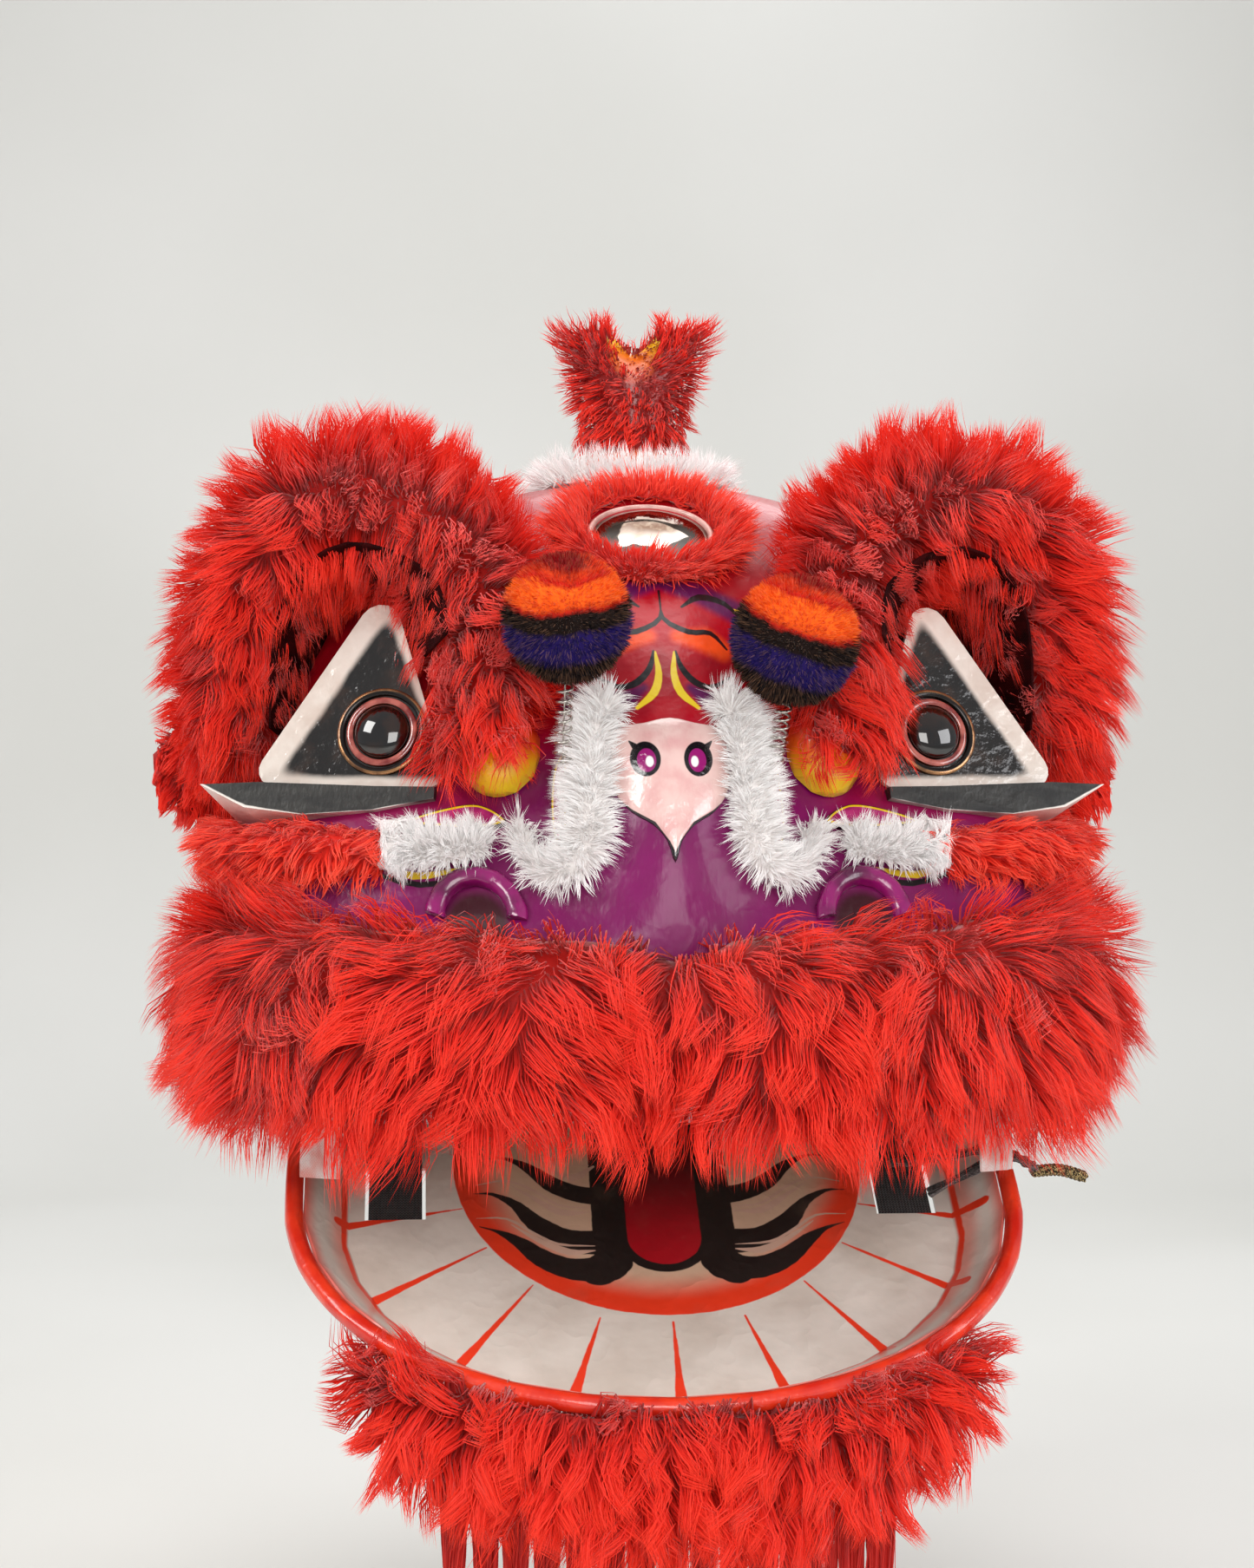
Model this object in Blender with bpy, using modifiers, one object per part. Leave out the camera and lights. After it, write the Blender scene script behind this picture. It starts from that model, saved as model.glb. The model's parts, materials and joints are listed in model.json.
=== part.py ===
"""Red lion dance head: a hollow papier-mache head on hoops with fur, painted plates and a hanging jaw.

Metres, +Z up, the face looks along -Y. The origin is the centre of the neck opening.
"""
import math
from collections import namedtuple

import bmesh
import bpy
import numpy as np
from mathutils import Matrix, Vector

# Driving dimensions
CLEARANCE = 0.0003
WELD = 0.0000005
FLAT_ANGLE = math.radians(0.6)
HEAD_HALF_WIDTH = 0.355
FRONT_REACH = 0.320
BACK_REACH = 0.360
CROWN_HEIGHT = 0.607
SNOUT_REACH = 0.090
SNOUT_HALF_WIDTH = 0.088
SHELL_WALL = 0.003
HOOP_POINTS = 24
FRONT_CROWDING = 0.42
PLATE_THICKNESS = 0.004

EYE_X = 0.6507 * HEAD_HALF_WIDTH
EYE_Y = -0.5562 * FRONT_REACH
EYE_Z = 0.6145 * CROWN_HEIGHT
EYE_YAW = math.radians(14)
EYE_PITCH = math.radians(18)
EYE_PANEL_DEPTH = 0.110
EYE_STEPS = 16
PUPIL_RADIUS = 0.024
PUPIL_RISE = 0.011
IRIS_RING_RADIUS = 0.0272
IRIS_RING_TUBE = 0.0028
GOLD_RING_RADIUS = 0.0350
GOLD_RING_TUBE = 0.0030

HOOD_WALL = 0.002
BROW_THICKNESS = 0.104
BROW_DEPTH = 0.165
LIP_FUR_REACH = 0.078
LIP_FUR_HEIGHT = 0.168
LIP_FUR_LOCKS = 18
LIP_FUR_SPREAD = math.radians(104)
LIP_HEIGHT = 0.2356 * CROWN_HEIGHT
LIP_END_LIFT = 0.012
TRIM_RADIUS = 0.022
CHEEK_FUR_LOCKS = 14
CHEEK_FUR_SPREAD = (24, 104)
CHEEK_FUR_RADIUS = 0.037
CHEEK_FUR_TOP = 0.45

MIRROR_SET_BACK = 0.0040
MIRROR_SPAN = 0.05 * CROWN_HEIGHT
MIRROR_Z = 0.8995 * CROWN_HEIGHT
MIRROR_STEPS = 18
MIRROR_RADIUS = 0.050
MIRROR_SINK = 0.030
MIRROR_RISE = 0.014
MIRROR_RIM_WIDTH = 0.005
MIRROR_FUR_RADIUS = 0.0155
MIRROR_TILT = math.radians(0.8)

HORN_Y = 0.2917 * BACK_REACH
HORN_HEIGHT = 0.157
HORN_BASE = 0.9885 * CROWN_HEIGHT
HORN_BASE_HALF_WIDTH = 0.056
HORN_FUR_THICKNESS = 0.015
HORN_RING_LOCKS = 16
HORN_RING_RADIUS = 0.019
HORN_POINTS = 12

POMPOM_RADIUS = 0.0535
POMPOM_Y = -0.9219 * FRONT_REACH
SPRING_RADIUS = 0.0062
SPRING_WIRE = 0.0008
SPRING_TURNS = 4
SPRING_POINTS_PER_TURN = 4

JAW_HALF_WIDTH = 0.8620 * HEAD_HALF_WIDTH
JAW_LENGTH = 0.460
JAW_WIDEST = 0.4891 * JAW_LENGTH
JAW_TILT = math.radians(35)
JAW_HINGE_Y = 0.1306 * BACK_REACH
JAW_HINGE_Z = 0.1796 * CROWN_HEIGHT
JAW_FLOOR_DROP = 0.034
JAW_WALL = 0.003
JAW_RIM_RADIUS = 0.008
JAW_POINTS = 30
SLOT_WIDTH = 0.052
SLOT_LENGTH = 0.063
SLOT_X = 0.7222 * JAW_HALF_WIDTH
SLOT_REACH = 0.4043 * JAW_LENGTH
STRAP_WIDTH = 0.046
STRAP_THICKNESS = 0.002
STRAP_FOOT = 0.012
STRAP_BEND = 0.004

ROOF_FRONT_Y = -0.9688 * FRONT_REACH
ROOF_FRONT_Z = 0.1120 * CROWN_HEIGHT
ROOF_BACK_Y = 0.0750 * BACK_REACH
ROOF_SLOPE = math.radians(13)
ROOF_THICKNESS = 0.004

BEARD_HALF_WIDTH = 0.8007 * JAW_HALF_WIDTH
BEARD_RADIUS = 0.044
BEARD_INSET = 0.012
BEARD_DROP = 0.046
BEARD_LOCKS = 10
FRINGE_HALF_WIDTH = 0.7551 * BEARD_HALF_WIDTH
FRINGE_LENGTH = 0.225
FRINGE_THICKNESS = 0.016
FRINGE_LOCKS = 12

EAR_LENGTH = 0.130
EAR_WIDTH = 0.100
EAR_THICKNESS = 0.022
FLAP_DEPTH = 0.045
FLAP_THICKNESS = 0.002

# Hoops of the head from the lip edge to the crown, as shares of the reaches, widths and heights above
Hoop = namedtuple("Hoop", "front_height back_height front back middle width fullness snout")
HOOPS = (
    Hoop(0.102, 0.000, 0.920, 0.917, 0.00, 0.940, 2.7, 0.00),
    Hoop(0.165, 0.115, 0.985, 0.972, 0.00, 0.985, 2.7, 0.00),
    Hoop(0.313, 0.264, 1.000, 1.000, 0.00, 1.000, 2.7, 0.00),
    Hoop(0.390, 0.370, 0.870, 1.000, 0.00, 1.000, 2.8, 0.45),
    Hoop(0.478, 0.478, 0.740, 0.986, 0.00, 1.000, 3.1, 0.78),
    Hoop(0.560, 0.577, 0.625, 0.958, 0.00, 0.970, 3.1, 1.00),
    Hoop(0.642, 0.675, 0.547, 0.917, 0.00, 0.905, 3.0, 0.94),
    Hoop(0.725, 0.758, 0.484, 0.861, 0.05, 0.850, 2.7, 0.72),
    Hoop(0.807, 0.840, 0.406, 0.778, 0.10, 0.795, 2.3, 0.44),
    Hoop(0.881, 0.906, 0.297, 0.667, 0.16, 0.686, 2.1, 0.17),
    Hoop(0.947, 0.956, 0.140, 0.500, 0.19, 0.504, 2.0, 0.00),
    Hoop(0.988, 0.988, -0.030, 0.306, 0.17, 0.266, 2.0, 0.00),
)
POLE_MIDDLE = 0.17

# Centre line of a brow roll on the right, from its outer foot over the top to its inner foot
# x, y and z are shares of the head's half width, front reach and height
BrowStation = namedtuple("BrowStation", "x y z size")
BROW_PATH = (
    BrowStation(1.0056, -0.2969, 0.5733, 0.72),
    BrowStation(1.0197, -0.3438, 0.6590, 0.95),
    BrowStation(1.0028, -0.3750, 0.7825, 1.05),
    BrowStation(0.9183, -0.4219, 0.8929, 1.2),
    BrowStation(0.7380, -0.4531, 0.9506, 1.35),
    BrowStation(0.5408, -0.5000, 0.9160, 1.3),
    BrowStation(0.4113, -0.5781, 0.8270, 1.15),
    BrowStation(0.3944, -0.6562, 0.7249, 1),
    BrowStation(0.4225, -0.7031, 0.6343, 0.8),
    BrowStation(0.4507, -0.7125, 0.5766, 0.45),
)

# White fur bands on the right, as centre lines over the face
# x and z are shares of the head's half width and height, and the radius is a share of the thickest
TrimStation = namedtuple("TrimStation", "x z radius")
INNER_TRIM = (
    TrimStation(0.0958, 0.6557, 0.5455),
    TrimStation(0.1408, 0.6392, 0.8636),
    TrimStation(0.1606, 0.5766, 1.0000),
    TrimStation(0.1690, 0.5025, 1.0000),
    TrimStation(0.1915, 0.4481, 0.9091),
    TrimStation(0.2535, 0.4201, 0.7727),
    TrimStation(0.3155, 0.4448, 0.6364),
    TrimStation(0.3324, 0.4942, 0.5455),
)
OUTER_TRIM = (
    TrimStation(0.3887, 0.4629, 0.6818),
    TrimStation(0.4648, 0.4514, 0.8182),
    TrimStation(0.5775, 0.4465, 0.8182),
    TrimStation(0.6732, 0.4613, 0.6364),
    TrimStation(0.6789, 0.5008, 0.5909),
    TrimStation(0.5972, 0.5288, 0.6818),
    TrimStation(0.4789, 0.5453, 0.5909),
)

# Outlines on the face, right-hand side, as shares of the head's half width and height
FacePoint = namedtuple("FacePoint", "x z")
NOSE_PLATE = (
    FacePoint(0.0000, 0.6326),
    FacePoint(0.0563, 0.6194),
    FacePoint(0.1239, 0.6129),
    FacePoint(0.1296, 0.5519),
    FacePoint(0.0958, 0.5025),
    FacePoint(0.0338, 0.4695),
    FacePoint(0.0000, 0.4382),
)
INNER_LEAF = (
    FacePoint(0.2211, 0.5799),
    FacePoint(0.2535, 0.5601),
    FacePoint(0.2620, 0.5107),
    FacePoint(0.2535, 0.4662),
    FacePoint(0.2310, 0.4613),
    FacePoint(0.2225, 0.5107),
)
OUTER_LEAF = (
    FacePoint(0.3662, 0.4926),
    FacePoint(0.4225, 0.5107),
    FacePoint(0.5070, 0.5058),
    FacePoint(0.6028, 0.4893),
    FacePoint(0.5352, 0.4843),
    FacePoint(0.4225, 0.4827),
)

# Corners of an eye panel seen face on, outward and up from the pupil, with the radius that rounds each
PanelCorner = namedtuple("PanelCorner", "outward up radius")
PANEL_CORNERS = (
    PanelCorner(0.006, 0.138, 0.018),
    PanelCorner(0.114, -0.047, 0.015),
    PanelCorner(-0.062, -0.050, 0.016),
)

CHEEK_BUMP = Vector((0.3718 * HEAD_HALF_WIDTH, -0.6250 * FRONT_REACH, 0.5799 * CROWN_HEIGHT))
CHEEK_BUMP_RADII = (0.034, 0.040, 0.040)
NOSTRIL_X = 0.4366 * HEAD_HALF_WIDTH
NOSTRIL_Z = 0.3657 * CROWN_HEIGHT
NOSTRIL_RADIUS = 0.033
NOSTRIL_TUBE = 0.009
POMPOM_X = {"left": -0.2366 * HEAD_HALF_WIDTH, "right": 0.2732 * HEAD_HALF_WIDTH}
POMPOM_Z = {"left": 0.7595 * CROWN_HEIGHT, "right": 0.7315 * CROWN_HEIGHT}
SPRING_FOOT_X = {"left": -0.2423 * HEAD_HALF_WIDTH, "right": 0.2394 * HEAD_HALF_WIDTH}
SPRING_FOOT_Y = -0.8187 * FRONT_REACH
SPRING_FOOT_Z = 0.5684 * CROWN_HEIGHT
SIDES = (("left", -1.0), ("right", 1.0))

# Colour, roughness and metallic value of each finish
Finish = namedtuple("Finish", "colour roughness metallic")
FINISHES = {
    "red_fur": Finish((0.62, 0.015, 0.010), 0.90, 0.0),
    "bright_fur": Finish((0.85, 0.060, 0.030), 0.90, 0.0),
    "white_fur": Finish((0.85, 0.84, 0.82), 0.90, 0.0),
    "painted_shell": Finish((0.45, 0.030, 0.060), 0.35, 0.0),
    "magenta_gloss": Finish((0.25, 0.010, 0.160), 0.20, 0.0),
    "pale_gloss": Finish((0.85, 0.70, 0.68), 0.20, 0.0),
    "yellow_gloss": Finish((0.90, 0.50, 0.030), 0.25, 0.0),
    "black_gloss": Finish((0.010, 0.010, 0.012), 0.10, 0.0),
    "iris_gloss": Finish((0.45, 0.080, 0.060), 0.15, 0.0),
    "gold": Finish((0.45, 0.230, 0.080), 0.35, 1.0),
    "mirror_chrome": Finish((0.85, 0.85, 0.85), 0.05, 1.0),
    "spring_steel": Finish((0.55, 0.53, 0.50), 0.30, 1.0),
    "felt": Finish((0.30, 0.020, 0.030), 0.95, 0.0),
    "jaw_white": Finish((0.72, 0.68, 0.63), 0.45, 0.0),
    "jaw_red": Finish((0.80, 0.050, 0.020), 0.35, 0.0),
    "black_elastic": Finish((0.012, 0.012, 0.014), 0.80, 0.0),
    "glitter": Finish((0.45, 0.330, 0.120), 0.40, 0.6),
    "dark_lining": Finish((0.060, 0.005, 0.008), 0.80, 0.0),
}


def collection_named(name):
    """A collection under the scene's root."""
    made = bpy.data.collections.new(name)
    bpy.context.scene.collection.children.link(made)
    return made


def material_named(name):
    """The finish as a Principled material, made once."""
    found = bpy.data.materials.get(name)
    if found:
        return found
    finish = FINISHES[name]
    made = bpy.data.materials.new(name)
    made.use_nodes = True
    shader = made.node_tree.nodes["Principled BSDF"]
    shader.inputs["Base Color"].default_value = (*finish.colour, 1.0)
    shader.inputs["Roughness"].default_value = finish.roughness
    shader.inputs["Metallic"].default_value = finish.metallic
    return made


def add_object(name, mesh, collection, finish=None):
    """An object for the mesh, shaded smooth with its sharp edges kept."""
    made = bpy.data.objects.new(name, mesh)
    collection.objects.link(made)
    if finish:
        mesh.materials.append(material_named(finish))
    mesh.shade_smooth()
    mesh.set_sharp_from_angle(angle=math.radians(40))
    return made


def mesh_from(name, bm):
    """The bmesh as a mesh with its faces pointing out."""
    bmesh.ops.recalc_face_normals(bm, faces=bm.faces)
    mesh = bpy.data.meshes.new(name)
    bm.to_mesh(mesh)
    bm.free()
    return mesh


def loft(name, rings, tips=(None, None)):
    """A closed solid through rings of as many points each, ended by a flat cap or a tip at each end."""
    bm = bmesh.new()
    rows = [[bm.verts.new(point) for point in ring] for ring in rings]
    count = len(rows[0])
    for lower, upper in zip(rows, rows[1:]):
        for i in range(count):
            j = (i + 1) % count
            bm.faces.new((lower[i], lower[j], upper[j], upper[i]))
    for row, tip in zip((rows[0], rows[-1]), tips):
        if tip is None:
            bm.faces.new(row)
            continue
        point = bm.verts.new(tip)
        for i in range(count):
            bm.faces.new((row[i], row[(i + 1) % count], point))
    return mesh_from(name, bm)


def catmull(points, steps):
    """Points along a smooth curve through the given ones, steps to each stretch."""
    rows = np.array([tuple(p) for p in points], dtype=float)
    padded = np.vstack((2 * rows[0] - rows[1], rows, 2 * rows[-1] - rows[-2]))
    out = []
    for a, b, c, d in zip(padded, padded[1:], padded[2:], padded[3:]):
        for t in np.arange(steps) / steps:
            out.append(0.5 * (2 * b + (c - a) * t + (2 * a - 5 * b + 4 * c - d) * t**2
                              + (3 * b - a - 3 * c + d) * t**3))
    out.append(rows[-1])
    return [tuple(map(float, row)) for row in out]


def hoop_angles(count):
    """Angles round a hoop from the front, closer together at the snout than at the back."""
    even = np.arange(count) * 2 * math.pi / count
    return even - FRONT_CROWDING * np.sin(even)


def hoop_outline(hoop, angles):
    """Points round one hoop: a superellipse with the snout pushed out at the front."""
    power = 2.0 / hoop.fullness
    across = np.sign(np.sin(angles)) * np.abs(np.sin(angles)) ** power
    along = np.sign(np.cos(angles)) * np.abs(np.cos(angles)) ** power
    middle = hoop.middle * BACK_REACH
    front = hoop.front * FRONT_REACH + middle
    back = hoop.back * BACK_REACH - middle
    x = HEAD_HALF_WIDTH * hoop.width * across
    y = middle - np.where(along > 0, front, back) * along
    bump = SNOUT_REACH * hoop.snout * np.exp(-((x / SNOUT_HALF_WIDTH) ** 2))
    depth = (y - middle + front) / (front + back)
    z = CROWN_HEIGHT * (hoop.front_height + (hoop.back_height - hoop.front_height) * depth)
    return np.stack((x, y - np.where(along > 0, bump * np.abs(along), 0.0), z), axis=1)


def face_y(x, z):
    """How far forward the head's surface lies at a place on the face."""
    heights = []
    depths = []
    for hoop in HOOPS:
        middle = hoop.middle * BACK_REACH
        share = min(abs(x) / (HEAD_HALF_WIDTH * hoop.width), 0.999)
        along = (1 - share**hoop.fullness) ** (1 / hoop.fullness)
        front = hoop.front * FRONT_REACH + middle
        bump = SNOUT_REACH * hoop.snout * math.exp(-((x / SNOUT_HALF_WIDTH) ** 2)) * along
        depths.append(middle - front * along - bump)
        heights.append(CROWN_HEIGHT * hoop.front_height)
    return float(np.interp(z, heights, depths))


def face_point(x, z, out=0.0):
    """A point on the face, or out from it along its normal."""
    step = 0.004
    here = Vector((x, face_y(x, z), z))
    across = Vector((2 * step, face_y(x + step, z) - face_y(x - step, z), 0))
    up = Vector((0, face_y(x, z + step) - face_y(x, z - step), 2 * step))
    return here + across.cross(up).normalized() * out


def head_skin(bm):
    """The head's outer surface in triangles that mirror from side to side; returns its lowest row."""
    angles = hoop_angles(HOOP_POINTS)
    rows = [[bm.verts.new(point) for point in hoop_outline(hoop, angles)] for hoop in HOOPS]
    pole = bm.verts.new((0.0, POLE_MIDDLE * BACK_REACH, CROWN_HEIGHT))
    for i in range(HOOP_POINTS):
        j = (i + 1) % HOOP_POINTS
        for low, high in zip(rows, rows[1:]):
            if 2 * i < HOOP_POINTS:
                bm.faces.new((low[i], low[j], high[j]))
                bm.faces.new((low[i], high[j], high[i]))
            else:
                bm.faces.new((low[i], low[j], high[i]))
                bm.faces.new((low[j], high[j], high[i]))
        bm.faces.new((rows[-1][i], rows[-1][j], pole))
    return rows[0]


def head_core(name, collection, grow):
    """The head's outer form as a solid, grown outwards, to cut or to trim what sits on it."""
    bm = bmesh.new()
    bm.faces.new(head_skin(bm))
    mesh = mesh_from(name, bm)
    grow_mesh(mesh, grow)
    return as_cutter(name, mesh, collection)


def grow_mesh(mesh, distance):
    """Moves every vertex out along its normal."""
    bm = bmesh.new()
    bm.from_mesh(mesh)
    bm.normal_update()
    for vert in bm.verts:
        vert.co += vert.normal * distance
    bm.to_mesh(mesh)
    bm.free()


def as_cutter(name, mesh, collection):
    """An object that only cuts: drawn as wire and left out of renders."""
    made = bpy.data.objects.new(name, mesh)
    collection.objects.link(made)
    made.hide_render = True
    made.display_type = "WIRE"
    return made


def evaluated_mesh(source):
    """The object's mesh with its modifiers applied, in world space."""
    bpy.context.view_layer.update()
    depsgraph = bpy.context.evaluated_depsgraph_get()
    made = bpy.data.meshes.new_from_object(source.evaluated_get(depsgraph), depsgraph=depsgraph)
    made.transform(source.matrix_world)
    return made


def grown_copy(source, collection, distance=CLEARANCE):
    """A cutter that is the piece made larger by the clearance."""
    mesh = evaluated_mesh(source)
    grow_mesh(mesh, distance)
    return as_cutter(source.name + "_clearance", mesh, collection)


def islands(bm):
    """The bmesh's connected bodies as lists of faces."""
    left = set(bm.faces)
    found = []
    while left:
        stack = [left.pop()]
        body = []
        while stack:
            face = stack.pop()
            body.append(face)
            for edge in face.edges:
                for other in edge.link_faces:
                    if other in left:
                        left.remove(other)
                        stack.append(other)
        found.append(body)
    return found


def settle(piece):
    """Applies the piece's modifiers, welds slivers and keeps its main body."""
    mesh = evaluated_mesh(piece)
    bm = bmesh.new()
    bm.from_mesh(mesh)
    bmesh.ops.remove_doubles(bm, verts=bm.verts, dist=WELD)
    bmesh.ops.dissolve_limit(bm, angle_limit=FLAT_ANGLE, verts=bm.verts, edges=bm.edges)
    bodies = sorted(islands(bm), key=lambda body: sum(face.calc_area() for face in body))
    spare = [face for body in bodies[:-1] for face in body]
    bmesh.ops.delete(bm, geom=spare, context="FACES")
    bmesh.ops.triangulate(bm, faces=bm.faces)
    bmesh.ops.recalc_face_normals(bm, faces=bm.faces)
    bm.to_mesh(mesh)
    bm.free()
    piece.modifiers.clear()
    piece.matrix_world = Matrix.Identity(4)
    piece.data = mesh
    mesh.shade_smooth()
    mesh.set_sharp_from_angle(angle=math.radians(40))


def mirrored_piece(piece, collection):
    """The left-hand copy of a piece on the right, with its own mesh."""
    mesh = evaluated_mesh(piece)
    mesh.transform(Matrix.Diagonal((-1.0, 1.0, 1.0, 1.0)))
    mesh.flip_normals()
    made = bpy.data.objects.new(piece.name.replace("_right", "_left"), mesh)
    collection.objects.link(made)
    return made


def boolean(piece, other, operation="DIFFERENCE"):
    """Adds one exact Boolean to the piece."""
    modifier = piece.modifiers.new(other.name, "BOOLEAN")
    modifier.operation = operation
    modifier.object = other
    modifier.solver = "MANIFOLD"


def seat(piece, cutters):
    """Cuts the piece clear of each cutter and keeps its main body."""
    for cutter in cutters:
        boolean(piece, cutter)
    settle(piece)


def lock(i, count):
    """How far lock i of a fur stands out, from 0 in a parting to about 1 at a lock's back."""
    if i % 2 == 0:
        return 0.0
    return 0.75 + 0.25 * math.sin(7.3 * i + 1.7 * count)


def fur_rings(centres, outs, ups, sizes, section, lock_depth, tip_drop=0.0):
    """Rings along a fur roll. Every second station is a lock that stands out from the partings."""
    rings = []
    count = len(centres)
    for i, (centre, out, up, size) in enumerate(zip(centres, outs, ups, sizes)):
        swell = 1.0 + lock_depth * lock(i, count)
        ring = []
        for r, h in section:
            drop = tip_drop * lock(i, count) * max(0.0, -h) * max(0.0, 0.4 + r)
            point = Vector(centre) + Vector(out) * (r * size[0] * swell)
            ring.append(point + Vector(up) * (h * size[1] * swell) - Vector((0, 0, drop)))
        rings.append(ring)
    return rings


def round_section(count):
    """Points round a unit circle."""
    return [(math.cos(2 * math.pi * k / count), math.sin(2 * math.pi * k / count)) for k in range(count)]


def flat_outline(name, points, depth, collection, finish=None):
    """A plate from a flat outline in X and Y, as deep as asked, half each way."""
    curve = bpy.data.curves.new(name, "CURVE")
    curve.dimensions = "2D"
    curve.fill_mode = "BOTH"
    curve.extrude = depth / 2
    spline = curve.splines.new("POLY")
    spline.points.add(len(points) - 1)
    for target, (x, y) in zip(spline.points, points):
        target.co = (x, y, 0.0, 1.0)
    spline.use_cyclic_u = True
    holder = bpy.data.objects.new(name + "_outline", curve)
    collection.objects.link(holder)
    mesh = evaluated_mesh(holder)
    bm = bmesh.new()
    bm.from_mesh(mesh)
    bmesh.ops.remove_doubles(bm, verts=bm.verts, dist=0.00001)
    bm.to_mesh(mesh)
    bm.free()
    bpy.data.objects.remove(holder)
    mesh.materials.clear()
    return add_object(name, mesh, collection, finish)


def rounded_corners(corners, steps=5):
    """The outline through corners that are each rounded by an arc."""
    points = []
    count = len(corners)
    for k, corner in enumerate(corners):
        here = Vector((corner.outward, corner.up))
        before = Vector((corners[k - 1].outward, corners[k - 1].up)) - here
        after = Vector((corners[(k + 1) % count].outward, corners[(k + 1) % count].up)) - here
        half = before.angle(after) / 2
        middle = (before.normalized() + after.normalized()).normalized()
        centre = here + middle * corner.radius / math.sin(half)
        start = here + before.normalized() * corner.radius / math.tan(half)
        end = here + after.normalized() * corner.radius / math.tan(half)
        first = math.atan2(start.y - centre.y, start.x - centre.x)
        turn = math.atan2(end.y - centre.y, end.x - centre.x) - first
        turn = (turn + math.pi) % (2 * math.pi) - math.pi
        for s in range(steps + 1):
            angle = first + turn * s / steps
            spot = centre + corner.radius * Vector((math.cos(angle), math.sin(angle)))
            points.append((spot.x, spot.y))
    return points


def turned(name, profile, steps, collection, finish):
    """A turned piece about Z from a closed profile of radius and height, top to bottom outside."""
    bm = bmesh.new()
    verts = [bm.verts.new((radius, 0.0, height)) for radius, height in profile]
    for a, b in zip(verts, verts[1:]):
        bm.edges.new((a, b))
    if profile[0][0] > 0.0:
        bm.edges.new((verts[-1], verts[0]))
    mesh = bpy.data.meshes.new(name)
    bm.to_mesh(mesh)
    bm.free()
    piece = add_object(name, mesh, collection, finish)
    screw = piece.modifiers.new("turn", "SCREW")
    screw.steps = steps
    screw.render_steps = steps
    screw.use_merge_vertices = True
    screw.merge_threshold = 0.0001
    return piece


def wire(name, points, radius, collection, finish, resolution=1, cyclic=False):
    """A wire or tube along the points, with its caps welded."""
    curve = bpy.data.curves.new(name, "CURVE")
    curve.dimensions = "3D"
    curve.bevel_depth = radius
    curve.bevel_resolution = resolution
    curve.use_fill_caps = not cyclic
    spline = curve.splines.new("POLY")
    spline.points.add(len(points) - 1)
    for target, point in zip(spline.points, points):
        target.co = (*point, 1.0)
    spline.use_cyclic_u = cyclic
    holder = bpy.data.objects.new(name + "_path", curve)
    collection.objects.link(holder)
    mesh = evaluated_mesh(holder)
    bm = bmesh.new()
    bm.from_mesh(mesh)
    bmesh.ops.remove_doubles(bm, verts=bm.verts, dist=0.00001)
    bm.to_mesh(mesh)
    bm.free()
    bpy.data.objects.remove(holder)
    mesh.materials.clear()
    return add_object(name, mesh, collection, finish)


def facing(place, yaw, pitch):
    """A frame at a place whose Z looks forward, turned by yaw about the head's Z and tipped up by pitch."""
    turn = Matrix.Rotation(yaw, 4, "Z") @ Matrix.Rotation(math.radians(90) - pitch, 4, "X")
    return Matrix.Translation(place) @ turn


def jaw_place(across, forward, rise):
    """A point given across the jaw, forward from its hinge and up from its rim plane."""
    cos, sin = math.cos(JAW_TILT), math.sin(JAW_TILT)
    y = JAW_HINGE_Y - forward * cos - rise * sin
    z = JAW_HINGE_Z - forward * sin + rise * cos
    return Vector((across, y, z))


def jaw_outline(angle, inset=0.0):
    """Across and forward of the jaw's edge at an angle from the front, moved in by an inset."""
    front = JAW_LENGTH - JAW_WIDEST
    fullness = 2.1 if math.cos(angle) > 0 else 3.6
    power = 2.0 / fullness
    across = math.copysign(abs(math.sin(angle)) ** power, math.sin(angle))
    along = math.copysign(abs(math.cos(angle)) ** power, math.cos(angle))
    reach = front if along > 0 else JAW_WIDEST
    return (JAW_HALF_WIDTH - inset) * across, JAW_WIDEST + (reach - inset) * along


def make_head_shell(parts, cutters):
    """The hollow head: an open loft over the hoops with a wall, and two nostril openings."""
    bm = bmesh.new()
    head_skin(bm)
    shell = add_object("head_shell", mesh_from("head_shell", bm), parts, "painted_shell")
    wall = shell.modifiers.new("wall", "SOLIDIFY")
    wall.thickness = SHELL_WALL
    wall.offset = -1.0
    for side, sign in SIDES:
        bpy.ops.mesh.primitive_cylinder_add(
            vertices=16, radius=NOSTRIL_RADIUS - NOSTRIL_TUBE, depth=0.12,
            location=(sign * NOSTRIL_X, face_y(NOSTRIL_X, NOSTRIL_Z), NOSTRIL_Z),
            rotation=(math.radians(90), 0.0, 0.0))
        drill = as_cutter("nostril_opening_" + side, bpy.context.object.data, cutters)
        drill.matrix_world = bpy.context.object.matrix_world
        bpy.data.objects.remove(bpy.context.object)
        boolean(shell, drill)
    settle(shell)
    return shell


def make_conformal(name, outline, thickness, parts, cutters, finish, sign):
    """A plate cut to an outline that lies on the face with an even thickness."""
    points = [(sign * point.x * HEAD_HALF_WIDTH, point.z * CROWN_HEIGHT) for point in outline]
    plate = flat_outline(name, points, 0.94 * FRONT_REACH, parts, finish)
    upright = Matrix.Rotation(math.radians(90), 4, "X")
    plate.matrix_world = Matrix.Translation((0, -0.78 * FRONT_REACH, 0)) @ upright
    boolean(plate, head_core(name + "_outside", cutters, thickness), "INTERSECT")
    boolean(plate, head_core(name + "_inside", cutters, CLEARANCE))
    settle(plate)
    return plate


def mirrored(outline):
    """The whole outline of a shape whose right half is given from top to bottom."""
    left = [FacePoint(-point.x, point.z) for point in reversed(outline[1:-1])]
    return list(outline) + left


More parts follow.
